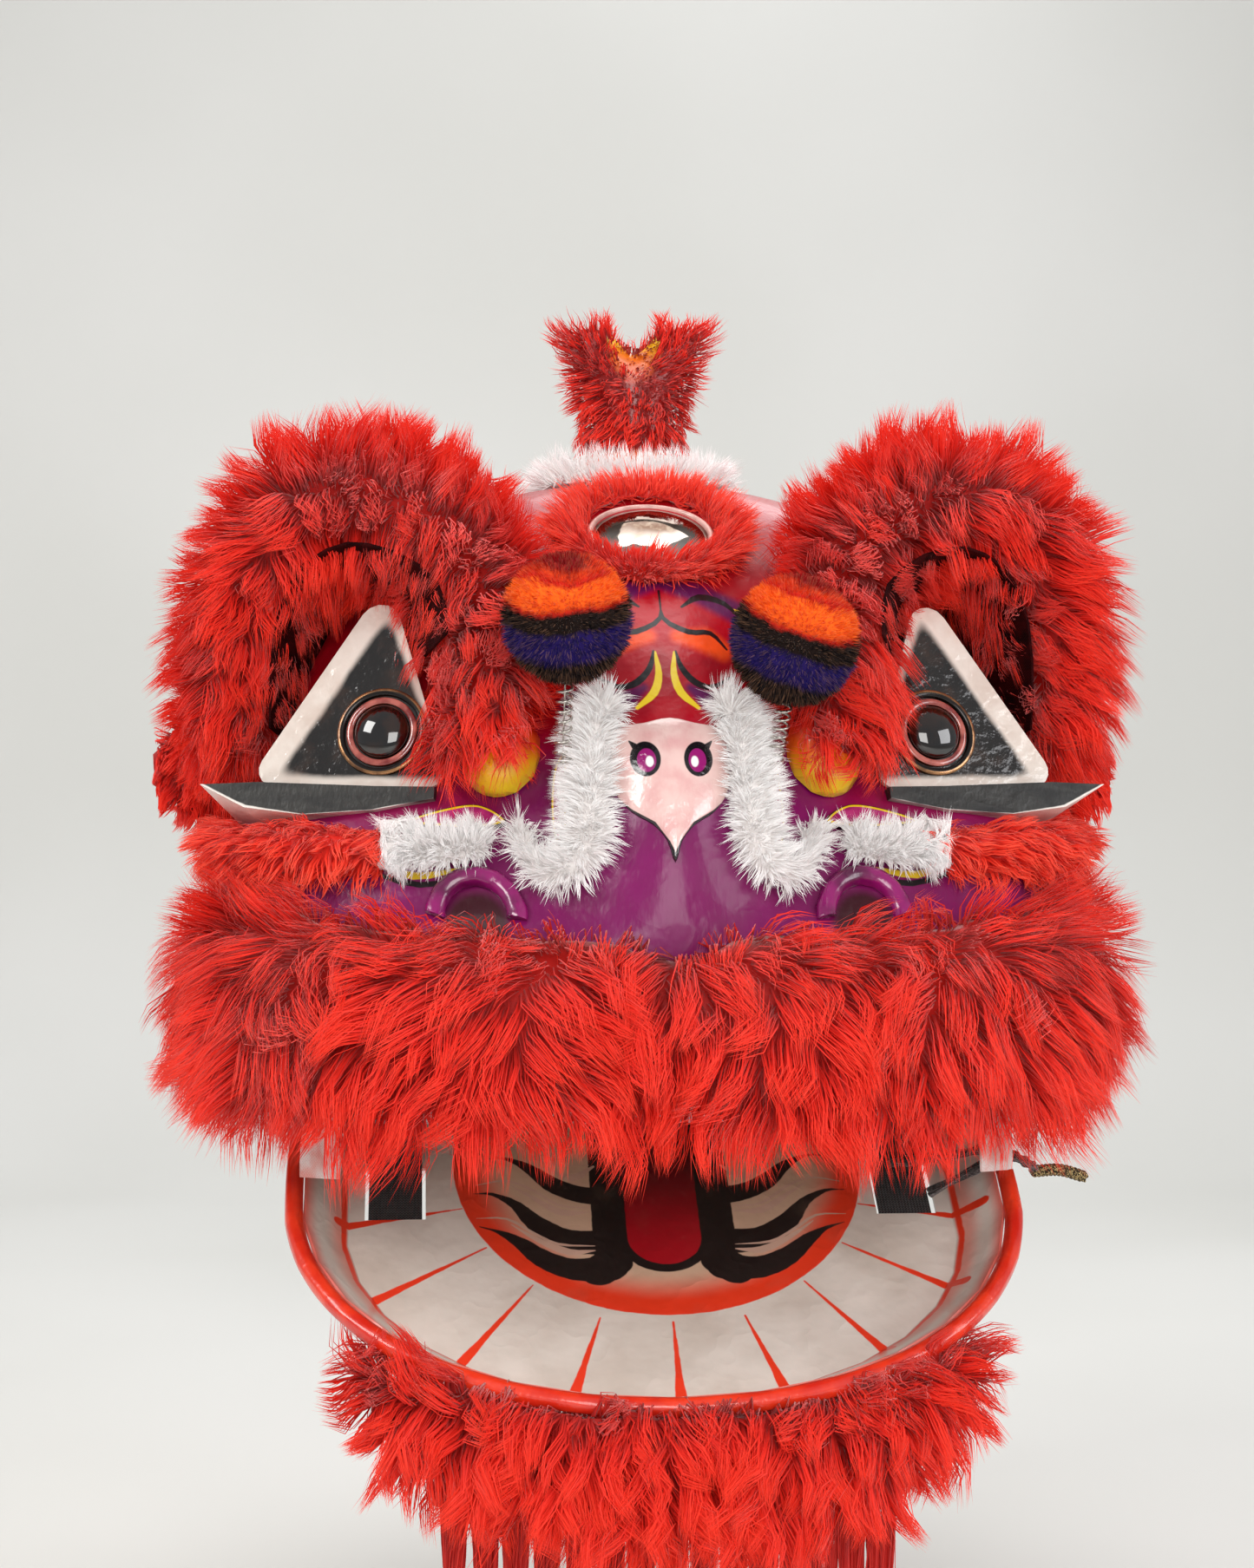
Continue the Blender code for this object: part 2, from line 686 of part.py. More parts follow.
def make_trim(name, rows, sign, parts, blockers, finish):
    """A fur band along a line on the face, cut clear of what it sits on."""
    scaled = [TrimStation(row.x * HEAD_HALF_WIDTH, row.z * CROWN_HEIGHT, row.radius * TRIM_RADIUS)
              for row in rows]
    path = catmull(scaled, 2)
    places = [face_point(sign * x, z, 0.35 * radius) for x, z, radius in path]
    rings = []
    section = round_section(5)
    for i, place in enumerate(places):
        ahead = places[min(i + 1, len(places) - 1)] - places[max(i - 1, 0)]
        out = (face_point(sign * path[i][0], path[i][1], 1.0)
               - face_point(sign * path[i][0], path[i][1])).normalized()
        side = ahead.cross(out).normalized()
        swell = path[i][2] * (1.0 + 0.22 * lock(i, len(places)))
        if i in (0, len(places) - 1):
            swell *= 0.45
        rings.append([place + (out * c + side * s) * swell for c, s in section])
    piece = add_object(name, loft(name, rings), parts, finish)
    seat(piece, blockers)
    return piece


def make_eye(side, sign, parts, core):
    """One eye: its panel on the face, two rings, a domed pupil and the lower rim."""
    frame = facing((sign * EYE_X, EYE_Y, EYE_Z), sign * EYE_YAW, EYE_PITCH)
    outline = [(sign * x, y) for x, y in rounded_corners(PANEL_CORNERS)]
    panel = flat_outline("eye_panel_" + side, outline, EYE_PANEL_DEPTH, parts, "black_gloss")
    panel.matrix_world = frame @ Matrix.Translation((0, 0, -EYE_PANEL_DEPTH / 2))
    seat(panel, [core])
    pieces = {"panel": panel}
    for part, radius, tube, finish in (("gold_ring", GOLD_RING_RADIUS, GOLD_RING_TUBE, "gold"),
                                       ("iris_ring", IRIS_RING_RADIUS, IRIS_RING_TUBE, "iris_gloss")):
        profile = [(radius - tube, 0.0), (radius - 0.5 * tube, tube), (radius + 0.5 * tube, tube),
                   (radius + tube, 0.0)]
        ring = turned(f"eye_{part}_{side}", profile, EYE_STEPS, parts, finish)
        ring.matrix_world = frame @ Matrix.Translation((0, 0, CLEARANCE))
        pieces[part] = ring
    bead = [(0.0, PUPIL_RISE)]
    for k in (1, 2, 3):
        angle = math.radians(30 * k)
        bead.append((PUPIL_RADIUS * math.sin(angle), PUPIL_RISE * math.cos(angle)))
    bead.append((0.0, 0.0))
    pupil = turned("eye_pupil_" + side, bead, EYE_STEPS, parts, "black_gloss")
    pupil.matrix_world = frame @ Matrix.Translation((0, 0, CLEARANCE))
    pieces["pupil"] = pupil
    return pieces


def eye_room(sign, cutters):
    """The room in front of an eye panel that the eye's rings and pupil stand in, as a cutter."""
    bpy.ops.mesh.primitive_cylinder_add(vertices=20, radius=GOLD_RING_RADIUS + 2 * GOLD_RING_TUBE,
                                        depth=4 * PUPIL_RISE)
    drum = bpy.context.object
    mesh = drum.data
    mesh.transform(facing((sign * EYE_X, EYE_Y, EYE_Z), sign * EYE_YAW, EYE_PITCH))
    bpy.data.objects.remove(drum)
    return as_cutter("eye_room", mesh, cutters)


def make_eye_rim(side, sign, panel, parts, cutters, core):
    """The pointed ledge under an eye panel."""
    frame = facing((sign * EYE_X, EYE_Y, EYE_Z), sign * EYE_YAW, EYE_PITCH)
    upper = [(0.150, -0.048), (0.100, -0.046), (0.060, -0.0475), (0.0, -0.0495), (-0.050, -0.050)]
    lower = [(-0.050, -0.060), (0.0, -0.070), (0.060, -0.074), (0.110, -0.068)]
    outline = [(sign * x, y) for x, y in upper + lower]
    depth = EYE_PANEL_DEPTH + 0.008
    rim = flat_outline("eye_rim_" + side, outline, depth, parts, "pale_gloss")
    rim.matrix_world = frame @ Matrix.Translation((0, 0, 0.008 - depth / 2))
    seat(rim, [core, grown_copy(panel, cutters)])
    return rim


def brow_frames(sign, steps):
    """Centres, outward and backward directions and sizes along a brow, one row for each station."""
    scaled = [BrowStation(row.x * HEAD_HALF_WIDTH, row.y * FRONT_REACH, row.z * CROWN_HEIGHT, row.size)
              for row in BROW_PATH]
    path = catmull(scaled, steps)
    middle = Vector((0.7042 * HEAD_HALF_WIDTH, 0.0, 0.0))
    rows = []
    for i, (x, y, z, size) in enumerate(path):
        ahead = Vector(path[min(i + 1, len(path) - 1)][:3]) - Vector(path[max(i - 1, 0)][:3])
        back = Vector((-0.30 * (x - middle.x) / (0.3099 * HEAD_HALF_WIDTH), 0.93, -0.28)).normalized()
        out = back.cross(ahead).normalized()
        flip = Vector((sign, 1.0, 1.0))
        rows.append((Vector((x, y, z)) * flip, out * flip, back * flip, size))
    return rows


def make_brow(side, sign, parts, cutters, core, blockers):
    """A hollow cowl over the eye and the deep fur over it."""
    inner = -0.42 * BROW_THICKNESS
    hood_rings = []
    for centre, out, back, size in brow_frames(sign, 2)[1:15]:
        low, high = inner - CLEARANCE - HOOD_WALL, inner - CLEARANCE
        front, rear = -0.10 * BROW_DEPTH, 0.78 * BROW_DEPTH
        corners = ((low, front), (high, front), (high, rear), (low, rear))
        hood_rings.append([centre + out * (r * (0.4 + 0.6 * size)) + back * w for r, w in corners])
    hood = add_object("brow_hood_" + side, loft("brow_hood_" + side, hood_rings), parts, "dark_lining")
    seat(hood, [core] + blockers)
    section = []
    for c, s in round_section(8):
        section.append((max(c * 0.5, inner / BROW_THICKNESS), s * 0.5 + 0.24))
    rows = brow_frames(sign, 2)
    rings = []
    for i, (centre, out, back, size) in enumerate(rows):
        swell = 1.0 + 0.13 * lock(i, len(rows))
        ring = []
        for r, w in section:
            reach = r * BROW_THICKNESS * (0.4 + 0.6 * size) * (swell if r > 0 else 1.0)
            ring.append(centre + out * reach + back * (w * BROW_DEPTH * (0.5 + 0.5 * size)))
        rings.append(ring)
    fur = add_object("brow_fur_" + side, loft("brow_fur_" + side, rings), parts, "red_fur")
    seat(fur, [core, grown_copy(hood, cutters)] + blockers)
    return hood, fur


def hoop_at(share):
    """The hoop at a share of the way up between the lip's two hoops."""
    low, high = HOOPS[1], HOOPS[2]
    return Hoop(*(a + (b - a) * share for a, b in zip(low, high)))


def make_lip_fur(parts, blockers, core):
    """The deep fur roll round the upper lip, its locks hanging at the lower edge."""
    stations = 2 * LIP_FUR_LOCKS + 1
    turn = np.linspace(-LIP_FUR_SPREAD, LIP_FUR_SPREAD, stations)
    outline = hoop_outline(hoop_at(0.5), turn)
    centres, outs, sizes = [], [], []
    for i, angle in enumerate(turn):
        ahead = Vector(outline[min(i + 1, stations - 1)]) - Vector(outline[max(i - 1, 0)])
        out = Vector((ahead.y, -ahead.x, 0)).normalized()
        side = abs(angle) / LIP_FUR_SPREAD
        taper = math.sqrt(max(0.06, 1.0 - max(0.0, (side - 0.78) / 0.22) ** 2))
        height = LIP_FUR_HEIGHT * (0.5 + 0.16 * side**2) * taper
        centres.append((outline[i][0], outline[i][1], LIP_HEIGHT + LIP_END_LIFT * side**2))
        outs.append(out)
        sizes.append((LIP_FUR_REACH * taper, height))
    ups = [Vector((0, 0, 1))] * stations
    rings = fur_rings(centres, outs, ups, sizes, round_section(8), 0.11, 0.012)
    piece = add_object("lip_fur", loft("lip_fur", rings), parts, "red_fur")
    seat(piece, [core] + blockers)
    return piece


def make_cheek_fur(side, sign, parts, core, blockers):
    """Short bright fur under the eye, round to the side of the head."""
    last = CHEEK_FUR_LOCKS
    turn = np.radians(np.linspace(*CHEEK_FUR_SPREAD, last + 1)) * sign
    outline = hoop_outline(HOOPS[4], turn)
    rings = []
    for i, place in enumerate(outline):
        ahead = Vector(outline[min(i + 1, last)]) - Vector(outline[max(i - 1, 0)])
        out = Vector((ahead.y, -ahead.x, 0)).normalized() * sign
        taper = math.sqrt(max(0.10, 1.0 - abs(2 * i / last - 1.0) ** 6))
        swell = CHEEK_FUR_RADIUS * taper * (1.0 + 0.12 * lock(i, last))
        centre = Vector(place) + out * 0.003 - Vector((0, 0, 0.006))
        ring = []
        for c, s in round_section(6):
            rise = s * swell * (CHEEK_FUR_TOP if s > 0 else 1.0)
            ring.append(centre + out * (c * swell) + Vector((0, 0, rise)))
        rings.append(ring)
    piece = add_object("cheek_fur_" + side, loft("cheek_fur_" + side, rings), parts, "bright_fur")
    seat(piece, [core] + blockers)
    return piece


def make_mirror(parts, core):
    """The domed mirror on the forehead, its rim and the fur ring round it."""
    run = face_y(0, MIRROR_Z + MIRROR_SPAN) - face_y(0, MIRROR_Z - MIRROR_SPAN)
    elevation = math.atan2(run, 2 * MIRROR_SPAN) + MIRROR_TILT
    frame = facing((0, face_y(0, MIRROR_Z) + MIRROR_SET_BACK, MIRROR_Z), 0.0, elevation)
    depth = MIRROR_SINK
    profile = [(0.0, MIRROR_RISE)]
    for k in (1, 2, 3, 4):
        angle = math.radians(22.5 * k)
        profile.append((MIRROR_RADIUS * math.sin(angle), MIRROR_RISE * math.cos(angle)))
    profile += [(MIRROR_RADIUS, -depth), (0.0, -depth)]
    mirror = turned("mirror", profile, MIRROR_STEPS, parts, "mirror_chrome")
    mirror.matrix_world = frame
    seat(mirror, [core])
    inner = MIRROR_RADIUS + CLEARANCE
    outer = inner + MIRROR_RIM_WIDTH
    section = [(inner, 0.003), (outer, 0.001), (outer, -depth), (inner, -depth)]
    rim = turned("mirror_rim", section, MIRROR_STEPS, parts, "pale_gloss")
    rim.matrix_world = frame
    seat(rim, [core])
    rings = []
    stations = MIRROR_STEPS
    major = outer + MIRROR_FUR_RADIUS + CLEARANCE
    for i in range(stations):
        angle = 2 * math.pi * i / stations
        swell = MIRROR_FUR_RADIUS * (1.0 + 0.25 * lock(i, stations))
        ring = []
        for c, s in round_section(6):
            reach = major + (c * swell if c > 0 else c * MIRROR_FUR_RADIUS)
            rise = s * swell * (1.0 if s > 0 else 1.6)
            ring.append(frame @ Vector((reach * math.cos(angle), reach * math.sin(angle), rise)))
        rings.append(ring)
    fur = ring_solid("mirror_fur", rings, parts, "bright_fur")
    seat(fur, [core])
    return mirror, rim, fur


def ring_solid(name, rings, parts, finish):
    """A closed ring through sections that meet end to end."""
    bm = bmesh.new()
    rows = [[bm.verts.new(point) for point in ring] for ring in rings]
    count = len(rows[0])
    for k, lower in enumerate(rows):
        upper = rows[(k + 1) % len(rows)]
        for i in range(count):
            j = (i + 1) % count
            bm.faces.new((lower[i], lower[j], upper[j], upper[i]))
    return add_object(name, mesh_from(name, bm), parts, finish)


# Sections up the horn, as shares of its height and base half width; lobes is how far the top parts in two
HornSection = namedtuple("HornSection", "height width depth lobes")
HORN_SECTIONS = (
    HornSection(-0.10, 1.00, 0.80, 0.0),
    HornSection(0.12, 0.92, 0.74, 0.0),
    HornSection(0.30, 0.66, 0.58, 0.0),
    HornSection(0.50, 0.62, 0.52, 0.0),
    HornSection(0.72, 0.82, 0.50, 0.04),
    HornSection(0.90, 1.05, 0.48, 0.10),
    HornSection(1.00, 0.92, 0.36, 0.16),
)


def horn_rings(grow, first, last, ridge=0.0):
    """Rings of the horn between two heights, grown outwards."""
    height = HORN_HEIGHT
    rings = []
    for k, row in enumerate(HORN_SECTIONS):
        if row.height < first or row.height > last:
            continue
        ring = []
        for i in range(HORN_POINTS):
            angle = 2 * math.pi * i / HORN_POINTS
            fur = 1.0 + ridge * lock(i + k, HORN_POINTS)
            x = (HORN_BASE_HALF_WIDTH * row.width + grow) * math.cos(angle) * fur
            y = HORN_Y + (HORN_BASE_HALF_WIDTH * row.depth + grow) * math.sin(angle) * fur
            dip = height * row.lobes * math.exp(-((x / (0.35 * HORN_BASE_HALF_WIDTH)) ** 2))
            ring.append((x, y, HORN_BASE + height * row.height - dip + (grow if row.height == last else 0)))
        rings.append(ring)
    return rings


def make_horn(parts, cutters, core):
    """The horn, the fur sleeve round it and the white fur ring at its foot."""
    horn = add_object("horn", loft("horn", horn_rings(0.0, -1.0, 1.0)), parts, "yellow_gloss")
    seat(horn, [core])
    horn_room = grown_copy(horn, cutters)
    sleeve = add_object("horn_fur", loft("horn_fur", horn_rings(HORN_FUR_THICKNESS, 0.30, 0.90, 0.10)),
                        parts, "red_fur")
    seat(sleeve, [horn_room])
    rings = []
    stations = HORN_RING_LOCKS
    foot = HORN_SECTIONS[0]
    gap = HORN_RING_RADIUS + 3 * CLEARANCE
    for i in range(stations):
        angle = 2 * math.pi * i / stations
        swell = HORN_RING_RADIUS * (1.0 + 0.25 * lock(i, stations))
        ring = []
        for c, s in round_section(6):
            out = c * (swell if c > 0 else HORN_RING_RADIUS)
            x = (HORN_BASE_HALF_WIDTH * foot.width + gap + out) * math.cos(angle)
            y = HORN_Y + (HORN_BASE_HALF_WIDTH * foot.depth + gap + out) * math.sin(angle)
            ring.append((x, y, HORN_BASE + 0.008 + s * swell))
        rings.append(ring)
    base = ring_solid("horn_base_fur", rings, parts, "white_fur")
    seat(base, [core, horn_room])
    return horn, sleeve, base


def make_pompom(side, parts, cutters, core, blockers):
    """A felt ball on its coil spring, which stands on the snout."""
    centre = Vector((POMPOM_X[side], POMPOM_Y, POMPOM_Z[side]))
    bpy.ops.mesh.primitive_uv_sphere_add(segments=12, ring_count=8, radius=POMPOM_RADIUS, location=centre)
    ball = bpy.context.object
    mesh = ball.data
    mesh.transform(ball.matrix_world)
    bpy.data.objects.remove(ball)
    pompom = add_object("pompom_" + side, mesh, parts, "felt")
    seat(pompom, blockers)
    foot = Vector((SPRING_FOOT_X[side], SPRING_FOOT_Y, SPRING_FOOT_Z - 0.02))
    axis = centre - foot
    across = axis.cross(Vector((0, 1, 0))).normalized()
    other = axis.cross(across).normalized()
    points = []
    steps = SPRING_TURNS * SPRING_POINTS_PER_TURN
    for i in range(steps + 1):
        angle = 2 * math.pi * i / SPRING_POINTS_PER_TURN
        round_the_axis = across * math.cos(angle) + other * math.sin(angle)
        points.append(foot + axis * (0.75 * i / steps) + round_the_axis * SPRING_RADIUS)
    spring = wire("spring_" + side, points, SPRING_WIRE, parts, "spring_steel", resolution=0)
    seat(spring, [core, grown_copy(pompom, cutters)] + blockers)
    return pompom, spring


def make_nostril(side, sign, parts, core, blockers):
    """A glossy arch over a nostril opening."""
    places = []
    for k in range(9):
        angle = math.radians(-10 + 200 * k / 8)
        x = NOSTRIL_X + NOSTRIL_RADIUS * math.cos(angle)
        z = NOSTRIL_Z + NOSTRIL_RADIUS * math.sin(angle)
        places.append(TrimStation(x, z, NOSTRIL_TUBE))
    rings = []
    for i, station in enumerate(places):
        place = face_point(sign * station.x, station.z, 0.2 * station.radius)
        turn = math.radians(-10 + 200 * i / 8)
        side_way = Vector((sign * math.cos(turn), 0, math.sin(turn)))
        out = Vector((0, -1, 0))
        rings.append([place + (out * c + side_way * s) * station.radius for c, s in round_section(7)])
    arch = add_object("nostril_" + side, loft("nostril_" + side, rings), parts, "magenta_gloss")
    seat(arch, [core] + blockers)
    return arch


def make_cheek_bump(side, sign, parts, core):
    """A rounded lobe beside the nose."""
    bpy.ops.mesh.primitive_uv_sphere_add(segments=14, ring_count=8, radius=1.0)
    ball = bpy.context.object
    place = CHEEK_BUMP * Vector((sign, 1, 1))
    mesh = ball.data
    mesh.transform(Matrix.Translation(place) @ Matrix.Diagonal((*CHEEK_BUMP_RADII, 1.0)))
    bpy.data.objects.remove(ball)
    bump = add_object("cheek_bump_" + side, mesh, parts, "yellow_gloss")
    seat(bump, [core])
    return bump


def make_jaw(parts, cutters):
    """The shallow lower jaw with its two strap slots, and its rolled edge."""
    gap = JAW_RIM_RADIUS + CLEARANCE
    levels = ((0.40, -JAW_FLOOR_DROP), (0.75, -JAW_FLOOR_DROP), (0.88, -JAW_FLOOR_DROP), (1.0, 0.0))
    bm = bmesh.new()
    hub = bm.verts.new(jaw_place(0.0, JAW_WIDEST, -JAW_FLOOR_DROP))
    rows = []
    for share, rise in levels:
        row = []
        for k in range(JAW_POINTS):
            across, forward = jaw_outline(2 * math.pi * k / JAW_POINTS, gap)
            reach = JAW_WIDEST + (forward - JAW_WIDEST) * share
            row.append(bm.verts.new(jaw_place(across * share, reach, rise)))
        rows.append(row)
    for k in range(JAW_POINTS):
        bm.faces.new((hub, rows[0][k], rows[0][(k + 1) % JAW_POINTS]))
        for low, high in zip(rows, rows[1:]):
            j = (k + 1) % JAW_POINTS
            bm.faces.new((low[k], high[k], high[j], low[j]))
    dish = add_object("jaw_dish", mesh_from("jaw_dish", bm), parts, "jaw_white")
    wall = dish.modifiers.new("wall", "SOLIDIFY")
    wall.thickness = JAW_WALL
    wall.offset = 0.0
    for side, sign in SIDES:
        bpy.ops.mesh.primitive_cube_add(size=1.0)
        box = bpy.context.object
        place = jaw_place(sign * SLOT_X, SLOT_REACH, -JAW_FLOOR_DROP)
        mesh = box.data
        mesh.transform(Matrix.Translation(place) @ Matrix.Rotation(JAW_TILT, 4, "X")
                       @ Matrix.Diagonal((SLOT_WIDTH, SLOT_LENGTH, 0.03, 1.0)))
        bpy.data.objects.remove(box)
        boolean(dish, as_cutter("strap_slot_" + side, mesh, cutters))
    settle(dish)
    edge = []
    for k in range(JAW_POINTS):
        across, forward = jaw_outline(2 * math.pi * k / JAW_POINTS)
        edge.append(jaw_place(across, forward, 0.0))
    rim = wire("jaw_rim", edge, JAW_RIM_RADIUS, parts, "jaw_red", cyclic=True)
    return dish, rim


def jaw_room(cutters):
    """The jaw's filled-in form, as a solid that the beard is cut by."""
    rings = []
    levels = ((0.90, -JAW_FLOOR_DROP - JAW_WALL), (1.0, -JAW_RIM_RADIUS), (1.0, 2 * JAW_RIM_RADIUS))
    for share, rise in levels:
        ring = []
        for k in range(JAW_POINTS):
            across, forward = jaw_outline(2 * math.pi * k / JAW_POINTS, -0.5 * JAW_RIM_RADIUS)
            ring.append(jaw_place(across * share, JAW_WIDEST + (forward - JAW_WIDEST) * share, rise))
        rings.append(ring)
    return as_cutter("jaw_room", loft("jaw_room", rings), cutters)


def roof_point(x, y, lift=0.0):
    """A point on the underside of the mouth's roof, or above it."""
    return Vector((x, y, ROOF_FRONT_Z + (y - ROOF_FRONT_Y) * math.tan(ROOF_SLOPE) + lift))


def make_roof(parts, cutters, shell):
    """The pale board that closes the mouth above, seated against the head's lower edge."""
    outline = [(-HEAD_HALF_WIDTH, ROOF_BACK_Y), (-HEAD_HALF_WIDTH, ROOF_FRONT_Y),
               (HEAD_HALF_WIDTH, ROOF_FRONT_Y), (HEAD_HALF_WIDTH, ROOF_BACK_Y)]
    board = flat_outline("upper_mouth_board", outline, ROOF_THICKNESS, parts, "jaw_white")
    shear = Matrix.Identity(4)
    shear[2][1] = math.tan(ROOF_SLOPE)
    rise = ROOF_FRONT_Z - ROOF_FRONT_Y * math.tan(ROOF_SLOPE) + ROOF_THICKNESS / 2
    board.data.transform(Matrix.Translation((0, 0, rise)) @ shear)
    boolean(board, head_core("board_outline", cutters, -0.5 * SHELL_WALL), "INTERSECT")
    seat(board, [grown_copy(shell, cutters)])
    return board


def make_strap(side, sign, parts, cutters, dish, roof):
    """A flat elastic band from the roof, down through the jaw's slot and forward under the dish."""
    slot_back = jaw_place(0, SLOT_REACH - SLOT_LENGTH / 2, -JAW_FLOOR_DROP)
    inside = slot_back.y - STRAP_THICKNESS
    under = JAW_FLOOR_DROP + STRAP_BEND
    reach = (JAW_HINGE_Y - inside + under * math.sin(JAW_TILT)) / math.cos(JAW_TILT)
    bend = jaw_place(0, reach, -under)
    foot = jaw_place(0, SLOT_REACH + SLOT_LENGTH / 2 + STRAP_FOOT, -under)
    top = roof_point(0, inside, STRAP_BEND)
    half = STRAP_THICKNESS / 2
    line = [Vector((inside, top.z)), Vector((bend.y, bend.z)), Vector((foot.y, foot.z))]
    outline = []
    for turn in (1.0, -1.0):
        points = line if turn > 0 else list(reversed(line))
        for i, point in enumerate(points):
            ahead = points[min(i + 1, len(points) - 1)] - points[max(i - 1, 0)]
            across = Vector((ahead.y, -ahead.x)).normalized()
            outline.append(tuple(point + across * half))
    strap = flat_outline("jaw_strap_" + side, outline, STRAP_WIDTH, parts, "black_elastic")
    stand = Matrix(((0, 0, 1, sign * SLOT_X), (1, 0, 0, 0), (0, 1, 0, 0), (0, 0, 0, 1)))
    strap.matrix_world = stand
    seat(strap, [grown_copy(dish, cutters), grown_copy(roof, cutters)])
    return strap


def make_beard(parts, cutters, dish, rim):
    """The fur skirt under the jaw's front edge, and the long strands below it."""
    stations = 2 * BEARD_LOCKS + 1
    widest = math.asin(BEARD_HALF_WIDTH / JAW_HALF_WIDTH)
    centres, outs, sizes = [], [], []
    for i in range(stations):
        share = 2 * i / (stations - 1) - 1
        across, forward = jaw_outline(widest * share * 1.04)
        centres.append(jaw_place(across, forward - BEARD_INSET, 0.0) - Vector((0, 0, BEARD_DROP)))
        out = Vector((0.6 * share, -1.0, 0.0)).normalized()
        taper = math.sqrt(max(0.12, 1.0 - abs(share) ** 8))
        outs.append(out)
        sizes.append((0.62 * BEARD_RADIUS * taper, BEARD_RADIUS * taper * (1.20 - 0.32 * abs(share))))
    ups = [Vector((0, 0, 1))] * stations
    rings = fur_rings(centres, outs, ups, sizes, round_section(8), 0.16, 0.020)
    fur = add_object("beard_fur", loft("beard_fur", rings), parts, "red_fur")
    room = jaw_room(cutters)
    seat(fur, [room, grown_copy(rim, cutters), grown_copy(dish, cutters)])
    stations = 2 * FRINGE_LOCKS + 1
    rows = []
    top = jaw_place(0, JAW_LENGTH, 0).z - 1.1399 * BEARD_RADIUS
    bottom = top - FRINGE_LENGTH
    for i in range(stations):
        share = 2 * i / (stations - 1) - 1
        x = FRINGE_HALF_WIDTH * share
        y = jaw_place(0, JAW_LENGTH, 0).y + BEARD_RADIUS * (0.7955 + 1.1364 * share**2)
        tip = bottom if i % 2 else bottom + 0.35 * FRINGE_LENGTH
        tip += 0.080 * FRINGE_LENGTH * math.sin(3.1 * i)
        thick = FRINGE_THICKNESS * (0.5 if i % 2 else 0.28)
        heights = (top, 0.5 * (top + tip), tip)
        front = [(x, y - thick * w, z) for z, w in zip(heights, (1.0, 0.8, 0.3))]
        back = [(x, y + thick * w, z) for z, w in zip(reversed(heights), (0.3, 0.8, 1.0))]
        rows.append(front + back)
    fringe = add_object("beard_fringe", loft("beard_fringe", rows), parts, "red_fur")
    seat(fringe, [grown_copy(fur, cutters), room])
    return fur, fringe


def make_ear(side, sign, parts, core, blockers):
    """A small fur ear that stands off the side of the head."""
    root = Vector((sign * (HEAD_HALF_WIDTH - 0.27 * EAR_LENGTH), 0.1389 * BACK_REACH, 0.5931 * CROWN_HEIGHT))
    tip_way = Vector((sign * 0.86, -0.10, -0.12)).normalized()
    up = Vector((0, 0, 1))
    front = tip_way.cross(up).normalized()
    rings = []
    for k, (share, width) in enumerate(((0.0, 0.7), (0.25, 1.0), (0.5, 1.05), (0.75, 0.8), (0.95, 0.35))):
        place = root + tip_way * EAR_LENGTH * share
        wave = 1.0 + 0.10 * (k % 2)
        high = up * (0.5 * EAR_WIDTH * width * wave)
        deep = front * (0.5 * EAR_THICKNESS * width)
        rings.append([place + high * c + deep * s for c, s in round_section(10)])
    ear = add_object("ear_" + side, loft("ear_" + side, rings), parts, "bright_fur")
    seat(ear, [core] + blockers)
    return ear


def make_flap(side, sign, parts, cutters, shell):
    """A small cloth flap that hangs from the head's lower edge beside the jaw."""
    base = HOOPS[0]
    turn = np.radians(np.linspace(46, 58, 5)) * sign
    outline = hoop_outline(base, turn)
    rings = []
    for x, y, z in outline:
        out = Vector((x, y, 0)).normalized()
        place = Vector((x, y, z)) - out * SHELL_WALL * 0.5
        top = place + Vector((0, 0, -CLEARANCE))
        low = place + Vector((0, 0, -FLAP_DEPTH)) + out * 0.004
        half = out * FLAP_THICKNESS / 2
        rings.append([top - half, top + half, low + half, low - half])
    flap = add_object("side_flap_" + side, loft("side_flap_" + side, rings), parts, "white_fur")
    seat(flap, [grown_copy(shell, cutters)])
    return flap


def make_ties(parts, cutters, blockers):
    """The net ribbon looped over the jaw's right edge and the short glitter braid tied to it."""
    lift = JAW_RIM_RADIUS + 0.006
    start = jaw_place(SLOT_X - 0.01, SLOT_REACH - 0.020, -JAW_FLOOR_DROP + 0.012)
    over = jaw_place(JAW_HALF_WIDTH - 0.01, SLOT_REACH + 0.01, lift)
    loop = over + Vector((0.034, -0.004, -0.010))
    home = jaw_place(SLOT_X + 0.02, SLOT_REACH + 0.020, -JAW_FLOOR_DROP + 0.014)
    middle = jaw_place(0.5 * (SLOT_X + JAW_HALF_WIDTH), SLOT_REACH, 0.006)
    turn = over + Vector((0.004, 0.012, 0.004))
    path = catmull((start, middle, turn, loop, over + Vector((0.004, -0.012, 0.000)), home), 4)
    tie = wire("mesh_tie", path, 0.0042, parts, "black_elastic", resolution=0)
    seat(tie, blockers)
    end = loop + Vector((0.050, 0.022, -0.012))
    braid = wire("glitter_braid", catmull((loop + Vector((-0.001, 0.003, -0.004)), 0.5 * (loop + end)
                                           + Vector((0, 0, 0.002)), end), 4),
                 0.0050, parts, "glitter")
    seat(braid, [grown_copy(tie, cutters)] + blockers)
    return tie, braid


